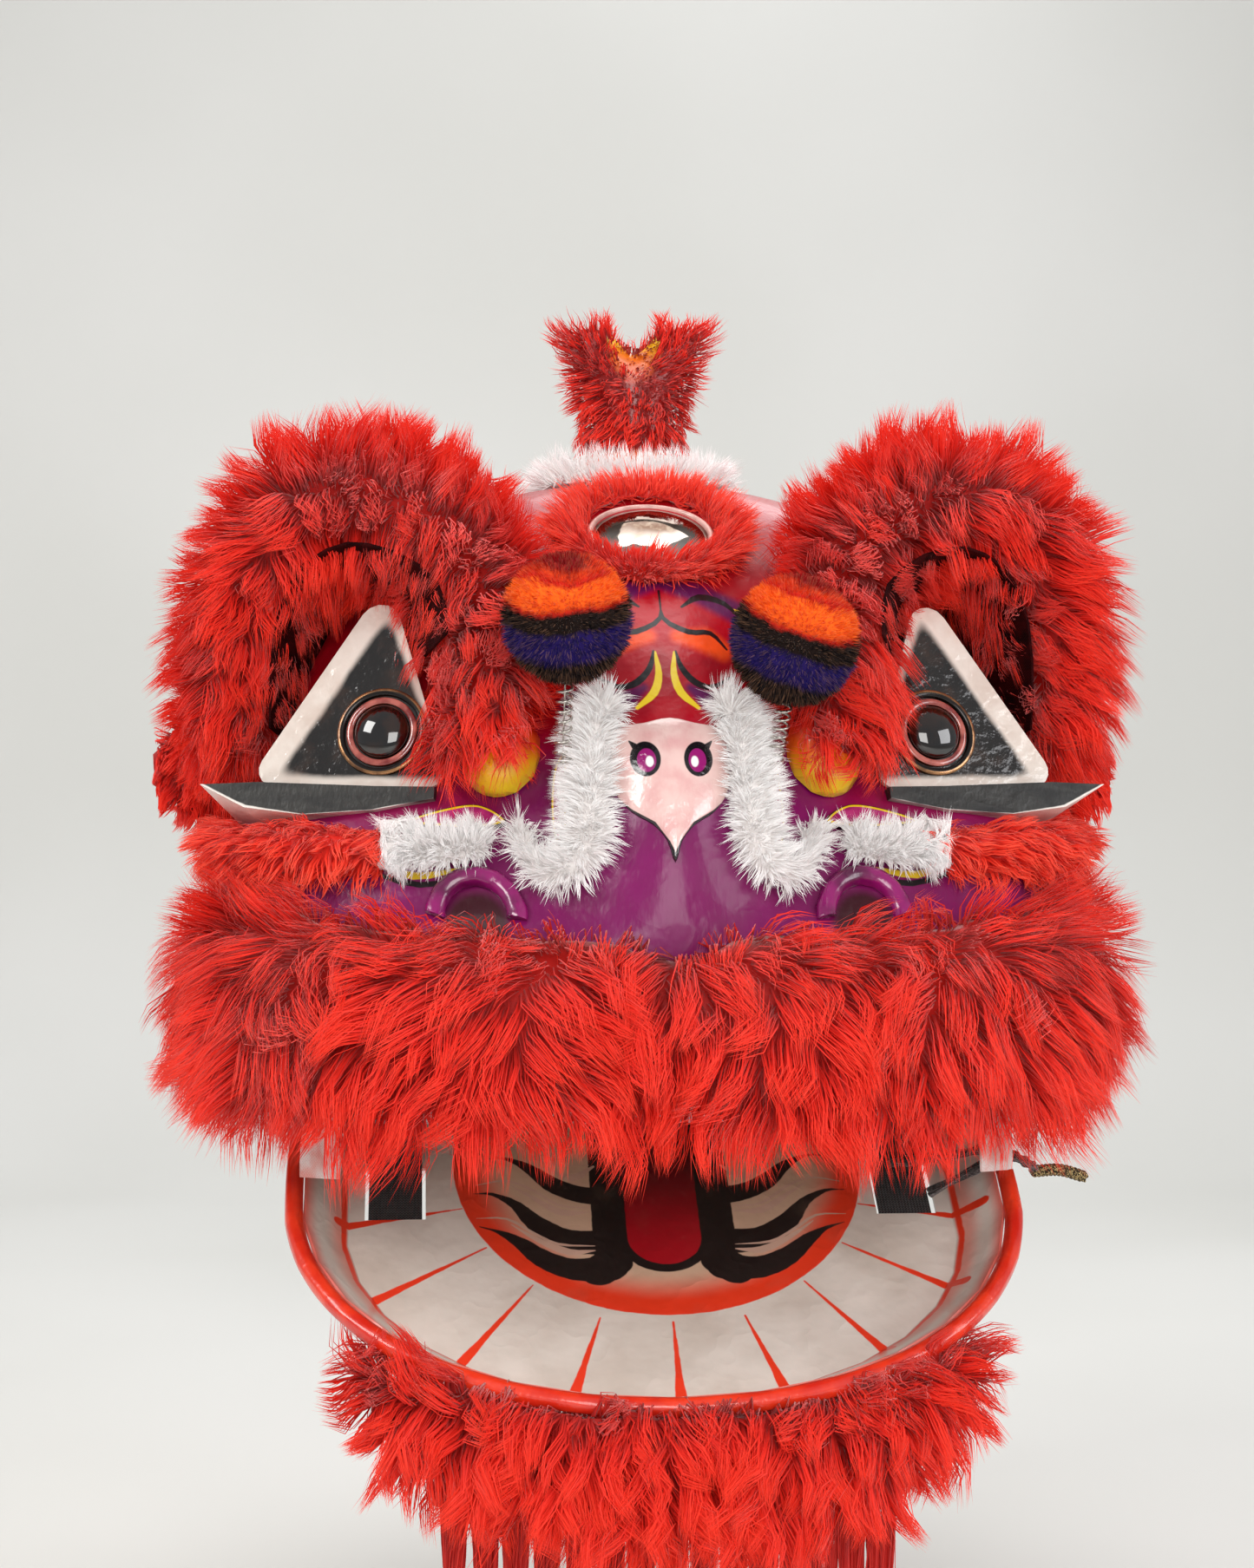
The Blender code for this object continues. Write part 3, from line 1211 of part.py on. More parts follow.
def main():
    """Builds the head from its shell outwards, each piece cut clear of what it sits on."""
    for old in list(bpy.data.objects):
        bpy.data.objects.remove(old)
    parts = collection_named("lion_dance_head")
    cutters = collection_named("cutters")
    shell = make_head_shell(parts, cutters)
    core = head_core("head_clearance", cutters, CLEARANCE)
    clear = {}

    def room(piece):
        """The piece's grown copy, made once."""
        if piece.name not in clear:
            clear[piece.name] = grown_copy(piece, cutters)
        return clear[piece.name]

    plate = make_conformal("nose_plate", mirrored(NOSE_PLATE), 1.5 * PLATE_THICKNESS, parts, cutters,
                           "pale_gloss", 1.0)
    mirror_pieces = make_mirror(parts, core)
    make_horn(parts, cutters, core)
    dish, rim = make_jaw(parts, cutters)
    roof = make_roof(parts, cutters, shell)
    make_beard(parts, cutters, dish, rim)
    eye = make_eye("right", 1.0, parts, core)
    ledge = make_eye_rim("right", 1.0, eye["panel"], parts, cutters, core)
    eye_rooms = [room(eye["panel"]), eye_room(1.0, cutters), room(ledge)]
    bump = make_cheek_bump("right", 1.0, parts, core)
    hood, brow = make_brow("right", 1.0, parts, cutters, core,
                           eye_rooms + [room(bump), room(mirror_pieces[2])])
    cheek = make_cheek_fur("right", 1.0, parts, core, [room(ledge), room(brow)])
    leaves = [make_conformal("leaf_inner_right", INNER_LEAF, 2 * PLATE_THICKNESS, parts, cutters,
                             "magenta_gloss", 1.0),
              make_conformal("leaf_outer_right", OUTER_LEAF, 2 * PLATE_THICKNESS, parts, cutters,
                             "magenta_gloss", 1.0)]
    leaf_rooms = [room(leaf) for leaf in leaves]
    inner = make_trim("trim_inner_right", INNER_TRIM, 1.0, parts,
                      [core, room(plate), room(bump)] + leaf_rooms, "white_fur")
    outer = make_trim("trim_outer_right", OUTER_TRIM, 1.0, parts,
                      [core, room(inner), room(cheek), room(brow)] + leaf_rooms, "white_fur")
    ear = make_ear("right", 1.0, parts, core, [room(cheek), room(brow), room(hood)])
    strap = make_strap("right", 1.0, parts, cutters, dish, roof)
    flap = make_flap("right", 1.0, parts, cutters, shell)
    pieces = [*eye.values(), ledge, bump, hood, brow, cheek, *leaves, inner, outer, ear, strap, flap]
    left = {piece.name: mirrored_piece(piece, parts) for piece in pieces}
    for side, _ in SIDES:
        around = [bpy.data.objects[name + side] for name in ("trim_inner_", "cheek_bump_", "brow_fur_")]
        make_pompom(side, parts, cutters, core, [room(piece) for piece in around])
    lip = make_lip_fur(parts, [room(roof), room(cheek), room(left["cheek_fur_right"])], core)
    for side, sign in SIDES:
        around = [bpy.data.objects[name + side] for name in ("trim_inner_", "trim_outer_")]
        make_nostril(side, sign, parts, core, [room(piece) for piece in around] + [room(lip)])
    make_ties(parts, cutters, [room(dish), room(rim), room(strap)])


main()
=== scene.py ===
"""A red lion dance head: fur, paint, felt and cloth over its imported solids.

Metres throughout. The lion looks along -Y, +X is the viewer's right and +Z is up.
"""

import json
import logging
import math
from dataclasses import dataclass
from enum import Enum
from functools import cache

import bmesh
import bpy
import numpy as np
from mathutils import Matrix, Vector
from mathutils.bvhtree import BVHTree

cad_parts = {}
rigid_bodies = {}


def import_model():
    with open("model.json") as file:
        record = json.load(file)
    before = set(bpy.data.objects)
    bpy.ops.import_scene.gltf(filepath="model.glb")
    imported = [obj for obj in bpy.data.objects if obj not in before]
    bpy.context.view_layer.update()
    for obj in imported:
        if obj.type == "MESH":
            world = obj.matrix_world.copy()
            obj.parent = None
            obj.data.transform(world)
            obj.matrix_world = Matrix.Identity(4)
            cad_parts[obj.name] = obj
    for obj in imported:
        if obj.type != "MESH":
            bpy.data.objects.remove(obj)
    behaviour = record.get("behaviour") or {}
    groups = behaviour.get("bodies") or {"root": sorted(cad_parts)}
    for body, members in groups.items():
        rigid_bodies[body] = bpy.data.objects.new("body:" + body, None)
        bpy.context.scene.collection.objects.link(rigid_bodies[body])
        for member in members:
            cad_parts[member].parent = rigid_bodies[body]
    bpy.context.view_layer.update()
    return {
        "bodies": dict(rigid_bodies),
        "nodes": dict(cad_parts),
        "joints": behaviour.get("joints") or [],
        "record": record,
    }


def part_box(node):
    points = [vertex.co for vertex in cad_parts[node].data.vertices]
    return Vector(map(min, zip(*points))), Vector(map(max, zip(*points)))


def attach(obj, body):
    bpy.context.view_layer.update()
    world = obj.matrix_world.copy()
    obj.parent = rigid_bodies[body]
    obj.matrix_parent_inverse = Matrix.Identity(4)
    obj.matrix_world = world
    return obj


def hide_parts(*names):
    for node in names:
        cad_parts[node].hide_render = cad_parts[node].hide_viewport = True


Array = np.ndarray
Triple = tuple[float, float, float]
Colour = Triple
Rows = tuple[Triple, ...] | list
BODY = "root"
LOG = logging.getLogger("lion_head")

EYE_PLACE = (0.231, -0.178, 0.373)
EYE_YAW = math.radians(14)
EYE_PITCH = math.radians(18)
MIRROR_PLACE = (0.0, -0.088, 0.546)
MIRROR_PITCH = math.radians(58)
JAW_TILT = math.radians(35)
JAW_HINGE = (0.0, 0.047, 0.109)
HORN_PLACE = (0.0, 0.105, 0.6)
HEAD_MIDDLE = (0.0, 0.05, 0.22)
POMPOM_RADIUS = 0.0535
SIDES = (("left", -1.0), ("right", 1.0))

FRAME: dict = {}
TALLY: list[int] = []


def paint(red: int, green: int, blue: int) -> Colour:
    """A colour as seen on a screen, 0 to 255, turned into linear light."""
    shares = (value / 255 for value in (red, green, blue))
    return tuple(c / 12.92 if c <= 0.04045 else ((c + 0.055) / 1.055) ** 2.4 for c in shares)


def unit(vectors: Array) -> Array:
    """Vectors along the last axis divided by their lengths."""
    return vectors / np.maximum(np.linalg.norm(vectors, axis=-1, keepdims=True), 1e-9)


def circle(count: int) -> Array:
    """Angles spread evenly round a full turn."""
    return np.linspace(0, 2 * math.pi, count, endpoint=False)


def stand(name: str, data: bpy.types.ID) -> bpy.types.Object:
    """Puts a mesh, lamp or camera into the scene."""
    made = bpy.data.objects.new(name, data)
    bpy.context.scene.collection.objects.link(made)
    return made


def look_along(holder: bpy.types.Object, way: Vector) -> None:
    """Turns a lamp or camera to look along a way, upright."""
    holder.rotation_euler = way.to_track_quat("-Z", "Y").to_euler()


class Wire:
    """A node's output, on which Python's operators add Math nodes."""

    def __init__(self, mix: "Finish", socket: bpy.types.NodeSocket) -> None:
        """Keeps the output and the finish that it belongs to."""
        self.mix = mix
        self.socket = socket

    def __add__(self, other: "Wire | float") -> "Wire":
        """The sum."""
        return self.mix.maths("ADD", self, other)

    def __sub__(self, other: "Wire | float") -> "Wire":
        """The difference."""
        return self.mix.maths("SUBTRACT", self, other)

    def __rsub__(self, other: float) -> "Wire":
        """A number less this."""
        return self.mix.maths("SUBTRACT", other, self)

    def __mul__(self, other: "Wire | float") -> "Wire":
        """The product."""
        return self.mix.maths("MULTIPLY", self, other)

    __radd__ = __add__

    def __abs__(self) -> "Wire":
        """The distance from zero."""
        return self.mix.maths("ABSOLUTE", self)

    def sine(self, turn: float) -> "Wire":
        """The sine of this times a turn in radians a metre."""
        return self.mix.maths("SINE", self * turn)

    def least(self, other: "Wire | float") -> "Wire":
        """The smaller of the two."""
        return self.mix.maths("MINIMUM", self, other)

    def most(self, other: "Wire | float") -> "Wire":
        """The larger of the two."""
        return self.mix.maths("MAXIMUM", self, other)

    def ease(self, low: float, high: float) -> "Wire":
        """0 at low and 1 at high, with a smooth step between."""
        settings = {"interpolation_type": "SMOOTHSTEP"}
        values = {"Value": self, "From Min": min(low, high), "From Max": max(low, high)}
        step = self.mix.node("ShaderNodeMapRange", settings, values)
        return step if low < high else 1 - step


class Finish:
    """A material under the brush: one Principled shader and the nodes that feed it."""

    def __init__(self, name: str, **even: float | tuple) -> None:
        """Starts a material; even holds the sockets that are the same all over, with _ for spaces."""
        self.material = bpy.data.materials.new(name)
        self.material.use_nodes = True
        self.tree = self.material.node_tree
        self.shader = self.tree.nodes["Principled BSDF"]
        for key, value in even.items():
            self.shader.inputs[key.replace("_", " ")].default_value = value
        self.object = self.node("ShaderNodeTexCoord", {}, {}, "Object")

    def put(self, socket: bpy.types.NodeSocket, value: "Wire | float | tuple") -> None:
        """Links a wire to a socket, or sets a number, colour or vector on it."""
        if isinstance(value, Wire):
            self.tree.links.new(value.socket, socket)
        elif isinstance(value, tuple) and socket.type == "RGBA" and len(value) == 3:
            socket.default_value = (*value, 1.0)
        else:
            socket.default_value = value

    def node(self, kind: str, settings: dict, values: dict, output: int | str = 0) -> Wire:
        """Adds a node.

        Args:
            kind: The node's type.
            settings: Its properties, set first.
            values: Values or wires for its sockets, by name or number.
            output: Which output is wanted.

        Returns:
            The output as a wire.
        """
        made = self.tree.nodes.new(kind)
        for key, value in settings.items():
            setattr(made, key, value)
        for key, value in values.items():
            self.put(made.inputs[key], value)
        return Wire(self, made.outputs[output])

    def maths(self, operation: str, *values: Wire | float) -> Wire:
        """A Math node on up to three values."""
        return self.node("ShaderNodeMath", {"operation": operation}, dict(enumerate(values)))

    def vector(self, operation: str, *values: Wire | tuple) -> Wire:
        """A Vector Math node."""
        return self.node("ShaderNodeVectorMath", {"operation": operation}, dict(enumerate(values)), "Vector")

    def number(self, operation: str, *values: Wire | tuple) -> Wire:
        """A Vector Math node whose answer is a number."""
        return self.node("ShaderNodeVectorMath", {"operation": operation}, dict(enumerate(values)), "Value")

    def blend(self, factor: Wire | float, first: Wire | Colour, second: Wire | Colour) -> Wire:
        """The first colour turned into the second by the factor."""
        return self.node("ShaderNodeMix", {"data_type": "RGBA"}, {0: factor, 6: first, 7: second}, 2)

    def ramp(self, place: Wire, *stops: tuple[float, Colour]) -> Wire:
        """A colour by place along a ramp of stops, each a place and a colour."""
        made = self.node("ShaderNodeValToRGB", {}, {0: place}, "Color")
        elements = made.socket.node.color_ramp.elements
        while len(elements) < len(stops):
            elements.new(0.5)
        for element, (spot, colour) in zip(elements, stops):
            element.position = spot
            element.color = (*colour, 1.0)
        return made

    def axes(self) -> tuple[Wire, Wire, Wire]:
        """The object's x, y and z at each point."""
        first = self.node("ShaderNodeSeparateXYZ", {}, {0: self.object})
        outputs = first.socket.node.outputs
        return tuple(Wire(self, outputs[k]) for k in range(3))

    def attribute(self, name: str) -> Wire:
        """A number that the mesh carries at each point."""
        return self.node("ShaderNodeAttribute", {"attribute_name": name}, {}, "Fac")

    def noise(self, scale: float, detail: float = 3.0, stretch: tuple = (1.0, 1.0, 1.0)) -> Wire:
        """Even noise from 0 to 1 over the object, stretched along its axes."""
        place = self.vector("MULTIPLY", self.object, stretch)
        return self.node("ShaderNodeTexNoise", {}, {"Vector": place, "Scale": scale, "Detail": detail})

    def cells(self, scale: float, stretch: tuple = (1.0, 1.0, 1.0)) -> Wire:
        """Distance to the nearest of many scattered points."""
        place = self.vector("MULTIPLY", self.object, stretch)
        return self.node("ShaderNodeTexVoronoi", {}, {"Vector": place, "Scale": scale}, "Distance")

    def bump(self, height: Wire, distance: float, strength: float = 1.0) -> None:
        """Raises the surface by height times distance, in the shading alone."""
        values = {"Height": height, "Distance": distance, "Strength": strength}
        self.put(self.shader.inputs["Normal"], self.node("ShaderNodeBump", {}, values))

    def feed(self, **values: Wire) -> None:
        """Links wires to the shader's sockets, with _ for spaces."""
        for key, value in values.items():
            self.put(self.shader.inputs[key.replace("_", " ")], value)

    def worn(self, grain: Wire, ends: tuple[float, float], paints: tuple[Colour, Colour],
             gloss: tuple[float, float]) -> None:
        """Feeds one noise to colour and gloss.

        Args:
            grain: The noise.
            ends: Where in the noise the first paint starts and ends turning into the second.
            paints: The two paints.
            gloss: What the noise is multiplied by for the roughness, and what is added to that.
        """
        self.feed(Base_Color=self.blend(grain.ease(*ends), *paints), Roughness=grain * gloss[0] + gloss[1])

    def one_sided(self) -> None:
        """Makes the material clear from behind."""
        tree = self.material.node_tree
        out = next(node for node in tree.nodes if node.type == "OUTPUT_MATERIAL")
        solid = out.inputs["Surface"].links[0].from_socket
        either = tree.nodes.new("ShaderNodeMixShader")
        tree.links.new(tree.nodes.new("ShaderNodeNewGeometry").outputs["Backfacing"], either.inputs[0])
        tree.links.new(solid, either.inputs[1])
        tree.links.new(tree.nodes.new("ShaderNodeBsdfTransparent").outputs[0], either.inputs[2])
        tree.links.new(either.outputs[0], out.inputs["Surface"])

    def plane(self, across: Wire, up: Wire) -> Wire:
        """Two wires as a place on a flat sheet."""
        return self.node("ShaderNodeCombineXYZ", {}, {0: across, 1: up})

    def eye_axes(self, place: Wire, sign: float, count: int = 2) -> list[Wire]:
        """How far a place is across and up from an eye's centre in its own frame, and out if count is 3."""
        frame = eye_frame(sign)
        start = self.vector("SUBTRACT", place, tuple(frame[:3, 3].tolist()))
        ways = (frame[:3, 0] * sign, frame[:3, 1], frame[:3, 2])
        return [self.number("DOT_PRODUCT", start, tuple(way.tolist())) for way in ways[:count]]

    def sweep(self, place: Wire, *strokes: Rows) -> Wire:
        """Distance to the nearest of some strokes whose rows are joined by smooth curves."""
        return self.stroke(place, *(smooth_line(np.array(rows), 3).tolist() for rows in strokes))

    def stroke(self, place: Wire, *strokes: Rows) -> Wire:
        """Distance to the nearest of some painted strokes, less than 0 on them.

        A stroke runs straight from row to row. Each row is across, up and half the width there, and the
        distance is the least, over the stretches, of the length from the place to its foot on the stretch
        less the half width at that foot.
        """
        found = None
        for (ax, ay, wide_a), (bx, by, wide_b) in (pair for rows in strokes for pair in zip(rows, rows[1:])):
            run = (bx - ax, by - ay, 0.0)
            square = max(run[0] ** 2 + run[1] ** 2, 1e-12)
            start = self.vector("SUBTRACT", place, (ax, ay, 0.0))
            share = self.number("DOT_PRODUCT", start, tuple(c / square for c in run)).most(0.0).least(1.0)
            foot = self.node("ShaderNodeVectorMath", {"operation": "SCALE"}, {0: run, "Scale": share})
            gap = self.number("LENGTH", self.vector("SUBTRACT", start, foot))
            gap = gap - self.maths("MULTIPLY_ADD", share, wide_b - wide_a, wide_a)
            found = gap if found is None else found.least(gap)
        return found

    def corner_shape(self, place: Wire, corners: tuple[tuple[float, float], ...], soft: float) -> Wire:
        """Distance to a shape with straight edges, less than 0 in it: the greatest past any edge, softened.

        Args:
            place: Where on the flat sheet.
            corners: The shape's corners, in turn to the left.
            soft: Over how much of a distance two edges melt into a round corner.

        Returns:
            The distance.
        """
        found = None
        for (ax, ay), (bx, by) in zip(corners, corners[1:] + corners[:1]):
            length = math.hypot(bx - ax, by - ay)
            out = ((by - ay) / length, (ax - bx) / length, 0.0)
            gap = self.number("DOT_PRODUCT", place, out) - (ax * out[0] + ay * out[1])
            found = gap if found is None else self.maths("SMOOTH_MAX", found, gap, soft)
        return found

    def disc(self, place: Wire, centre: tuple[float, float], radii: tuple[float, float]) -> Wire:
        """Distance to an oval, less than 0 in it: length over the radii, less 1, times the lesser radius."""
        start = self.vector("SUBTRACT", place, (*centre, 0.0))
        start = self.vector("MULTIPLY", start, (1 / radii[0], 1 / radii[1], 0.0))
        return (self.number("LENGTH", start) - 1.0) * min(radii)


def mesh_of(name: str, points: Array, corners: Array, sizes: Array | None = None,
            marks: dict[str, Array] | None = None, smooth: float | None = 40.0) -> bpy.types.Mesh:
    """Puts whole arrays into a mesh.

    Args:
        name: The mesh's name.
        points: Places of its vertices, n by 3.
        corners: Vertex numbers of its faces: a row for each, or all end to end where sizes is given.
        sizes: How many corners each face has.
        marks: Numbers that its points carry, by name.
        smooth: The angle in degrees past which an edge stays sharp, or None for flat faces.

    Returns:
        The mesh.
    """
    if sizes is None:
        sizes = np.full(len(corners), corners.shape[1])
        corners = corners.ravel()
    mesh = bpy.data.meshes.new(name)
    mesh.vertices.add(len(points))
    mesh.vertices.foreach_set("co", np.ascontiguousarray(points, dtype=np.float32).ravel())
    mesh.loops.add(len(corners))
    mesh.loops.foreach_set("vertex_index", np.ascontiguousarray(corners, dtype=np.int32))
    mesh.polygons.add(len(sizes))
    starts = np.concatenate(([0], np.cumsum(sizes)[:-1])).astype(np.int32)
    mesh.polygons.foreach_set("loop_start", starts)
    mesh.update(calc_edges=True)
    for key, values in (marks or {}).items():
        mark = mesh.attributes.new(key, "FLOAT", "POINT")
        mark.data.foreach_set("value", np.ascontiguousarray(values, dtype=np.float32))
    if smooth is not None:
        mesh.shade_smooth()
        mesh.set_sharp_from_angle(angle=math.radians(smooth))
    return mesh


def grid_faces(rows: int, columns: int, wrap: bool = True) -> Array:
    """Quads over a grid of rows by columns, closed round its columns if wrap."""
    row, column = np.meshgrid(np.arange(rows - 1), np.arange(columns if wrap else columns - 1), indexing="ij")
    after = (column + 1) % columns
    near, far = row * columns, (row + 1) * columns
    return np.stack((near + column, near + after, far + after, far + column), axis=-1).reshape(-1, 4)


def merged(points: Array, faces: Array, within: float) -> tuple[Array, Array]:
    """Points with those that share a cell of a fine grid made one, and the faces by their new numbers."""
    cells = np.round(points / within).astype(np.int64)
    _, first, inverse = np.unique(cells, axis=0, return_index=True, return_inverse=True)
    return points[first], inverse.reshape(-1)[faces]


def add_piece(name: str, mesh: bpy.types.Mesh, finish: Finish, slot: str, *nodes: str) -> bpy.types.Object:
    """Puts a finished mesh into the scene as a piece that rides on the head and stands for its CAD nodes."""
    piece = stand(name, mesh)
    mesh.materials.clear()
    mesh.materials.append(finish.material)
    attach(piece, BODY)
    if nodes:
        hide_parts(*nodes)
    mesh.calc_loop_triangles()
    TALLY.append(len(mesh.loop_triangles))
    LOG.info("%s: %d triangles, %d so far", name, TALLY[-1], sum(TALLY))
    return piece


def dress(node: str, finish: Finish) -> None:
    """Gives a CAD node that stays its finish."""
    for place in FRAME["nodes"][node].material_slots:
        place.material = finish.material


@dataclass
class Solid:
    """A CAD node's triangles as arrays, with its doubles merged."""

    points: Array
    triangles: Array

    @classmethod
    def of(cls, node: str) -> "Solid":
        """Reads a node's mesh and merges the points that lie within a hundredth of a millimetre."""
        mesh = FRAME["nodes"][node].data
        points = np.empty(len(mesh.vertices) * 3)
        mesh.vertices.foreach_get("co", points)
        mesh.calc_loop_triangles()
        triangles = np.empty(len(mesh.loop_triangles) * 3, dtype=np.int64)
        mesh.loop_triangles.foreach_get("vertices", triangles)
        points, triangles = merged(points.reshape(-1, 3), triangles.reshape(-1, 3), 1e-5)
        return cls(points, triangles[(triangles != np.roll(triangles, 1, axis=1)).all(axis=1)])

    def face_normals(self) -> Array:
        """Normals of the triangles, as long as twice their areas."""
        a, b, c = (self.points[self.triangles[:, k]] for k in range(3))
        return np.cross(b - a, c - a)

    def normals(self) -> Array:
        """Unit normals at the points, each the mean of its triangles' by area."""
        total = np.zeros_like(self.points)
        flat = self.face_normals()
        for k in range(3):
            np.add.at(total, self.triangles[:, k], flat)
        return unit(total)

    def shrunk(self, distance: float, passes: int) -> "Solid":
        """The solid moved in, by less where it is thin, with its peaks relaxed.

        A point moves in by the distance, or by a share of the thickness under it where that is less. Then
        each pass moves every point half of the way to the mean of its neighbours.
        """
        thin_share = 0.42
        tree = BVHTree.FromPolygons(self.points.tolist(), self.triangles.tolist())
        normals = self.normals()
        depth = np.full(len(self.points), distance)
        for k, (point, normal) in enumerate(zip(self.points, normals)):
            hit = tree.ray_cast(Vector(point - normal * 2e-4), Vector(-normal))
            if hit[0] is not None:
                depth[k] = min(distance, thin_share * hit[3])
        points = self.points - normals * depth[:, None]
        ends = np.concatenate([self.triangles[:, pair] for pair in ((0, 1), (1, 2), (2, 0))])
        tally = np.bincount(ends[:, 0], minlength=len(points))[:, None]
        for _ in range(passes):
            total = np.zeros_like(points)
            np.add.at(total, ends[:, 0], points[ends[:, 1]])
            points = 0.5 * points + 0.5 * total / np.maximum(tally, 1)
        return Solid(points, self.triangles)

    def scatter(self, count: int, dice: np.random.Generator) -> tuple[Array, Array]:
        """Places spread evenly over the surface, and the unit normals there."""
        flat = self.face_normals()
        area = np.linalg.norm(flat, axis=1)
        chosen = dice.choice(len(area), size=count, p=area / area.sum())
        u, v = dice.random((2, count))
        over = u + v > 1
        u, v = np.where(over, 1 - u, u), np.where(over, 1 - v, v)
        shares = np.stack((1 - u - v, u, v), axis=1)
        corners = self.triangles[chosen]
        places = (self.points[corners] * shares[..., None]).sum(axis=1)
        return places, unit((self.normals()[corners] * shares[..., None]).sum(axis=1))

    def corner_normals(self, sharp: float) -> tuple[Array, Array]:
        """Normals at each triangle's corners, and which edges are sharp.

        A corner's normal is the mean, by area, of the triangles round its point that lie within the sharp
        angle of its own triangle. An edge is sharp where its two triangles differ by more than that, or it
        has one.
        """
        flat = self.face_normals()
        ways = unit(flat)
        count = len(self.triangles)
        corners = self.triangles.ravel()
        owner = np.repeat(np.arange(count), 3)
        order = np.argsort(corners, kind="stable")
        tally = np.bincount(corners, minlength=len(self.points))
        start = np.concatenate(([0], np.cumsum(tally)[:-1]))
        repeats = tally[corners]
        first = np.repeat(np.arange(len(corners)), repeats)
        step = np.arange(len(first)) - np.repeat(np.cumsum(repeats) - repeats, repeats)
        other = owner[order[start[corners[first]] + step]]
        close = (ways[owner[first]] * ways[other]).sum(axis=1) > math.cos(sharp)
        total = np.zeros((len(corners), 3))
        np.add.at(total, first[close], flat[other[close]])
        ends = np.stack((self.triangles, np.roll(self.triangles, -1, axis=1)), axis=-1).reshape(-1, 2)
        ends.sort(axis=1)
        _, edge = np.unique(ends, axis=0, return_inverse=True)
        edge = edge.reshape(-1)
        sums = np.zeros((edge.max() + 1, 3))
        np.add.at(sums, edge, ways[owner])
        pair = np.bincount(edge)
        smooth = (pair == 2) & (np.linalg.norm(sums, axis=1) > 2 * math.cos(sharp / 2))
        return unit(total).reshape(count, 3, 3), ~smooth[edge].reshape(count, 3)

    def rounded(self, steps: int, sharp: float = 40.0) -> "Solid":
        """The solid with each triangle swelled into a curved patch that meets its neighbours' smoothly.

        An edge's inner points lie at thirds, lowered by a third of the edge's rise along the near corner's
        normal, and stay on the straight line where the edge is sharp. The middle point is the mean of those
        six plus half their distance from the mean of the corners. The patch is the cubic of these ten
        points.
        """
        normals, hard = self.corner_normals(math.radians(sharp))
        corner = self.points[self.triangles]
        inner = []
        for k in range(3):
            j = (k + 1) % 3
            for near, far in ((k, j), (j, k)):
                run = corner[:, far] - corner[:, near]
                rise = (run * normals[:, near]).sum(axis=1, keepdims=True)
                rise = np.where(hard[:, k, None], 0.0, rise)
                inner.append((2 * corner[:, near] + corner[:, far] - rise * normals[:, near]) / 3)
        mean = sum(inner) / 6
        middle = mean + (mean - corner.mean(axis=1)) / 2
        spots = [(i, j, steps - i - j) for i in range(steps + 1) for j in range(steps + 1 - i)]
        a, b, c = np.array(spots).T / steps
        powers = (a**3, b**3, c**3, 3 * a * a * b, 3 * a * b * b, 3 * b * b * c, 3 * b * c * c, 3 * c * c * a,
                  3 * c * a * a, 6 * a * b * c)
        controls = [corner[:, 0], corner[:, 1], corner[:, 2], *inner, middle]
        places = sum(control[:, None] * power[None, :, None] for control, power in zip(controls, powers))
        number = {spot[:2]: k for k, spot in enumerate(spots)}
        faces = []
        for i, j, rest in spots:
            if rest:
                faces.append((number[i, j], number[i + 1, j], number[i, j + 1]))
            if rest > 1:
                faces.append((number[i + 1, j], number[i + 1, j + 1], number[i, j + 1]))
        faces = np.array(faces)[None] + (np.arange(len(self.triangles)) * len(spots))[:, None, None]
        return Solid(*merged(places.reshape(-1, 3), faces.reshape(-1, 3), 2e-6))

    def waved(self, height: float, waves: Triple, way: Array | None = None) -> "Solid":
        """The solid with ripples: height times the sine of the place along the waves, out or along a way."""
        ripple = height * np.sin(self.points @ np.array(waves))
        return Solid(self.points + (self.normals() if way is None else way) * ripple[:, None], self.triangles)

    def mesh(self, name: str, smooth: float = 40.0) -> bpy.types.Mesh:
        """The triangles as a Blender mesh."""
        return mesh_of(name, self.points, self.triangles, smooth=smooth)


def add_rounded(name: str, node: str, steps: int, finish: Finish, slot: str, sharp: float = 40.0) -> None:
    """Puts in a rounded copy of a CAD node, on which edges past the sharp angle in degrees stay sharp."""
    add_piece(name, Solid.of(node).rounded(steps, sharp).mesh(name, sharp), finish, slot, node)


class Walls:
    """Closed surfaces that strands stay out of."""

    def __init__(self, *nodes: str) -> None:
        """Builds a search tree for each node; the head's own is its outer side alone."""
        self.trees = []
        for node in nodes:
            solid = Solid.of(node)
            triangles = solid.triangles
            if node == "head_shell":
                away = solid.points[triangles].mean(axis=1) - np.array(HEAD_MIDDLE)
                triangles = triangles[(solid.face_normals() * away).sum(axis=1) > 0]
            self.trees.append(BVHTree.FromPolygons(solid.points.tolist(), triangles.tolist()))

    def clear(self, places: Array, depth: float = 0.002) -> Array:
        """Which places lie outside every wall, or less than the depth inside it."""
        free = np.ones(len(places), dtype=bool)
        for tree in self.trees:
            for k, place in enumerate(places):
                if not free[k]:
                    continue
                spot, normal, _, gap = tree.find_nearest(place)
                if (Vector(place) - spot).dot(normal) < 0 and gap > depth:
                    free[k] = False
        return free


class Lie(Enum):
    """Ways a coat's strands lie."""

    LIP = "lip"
    BROW = "brow"
    CHEEK = "cheek"
    RING = "ring"
    PILE = "pile"
    HANG = "hang"
    HORN = "horn"


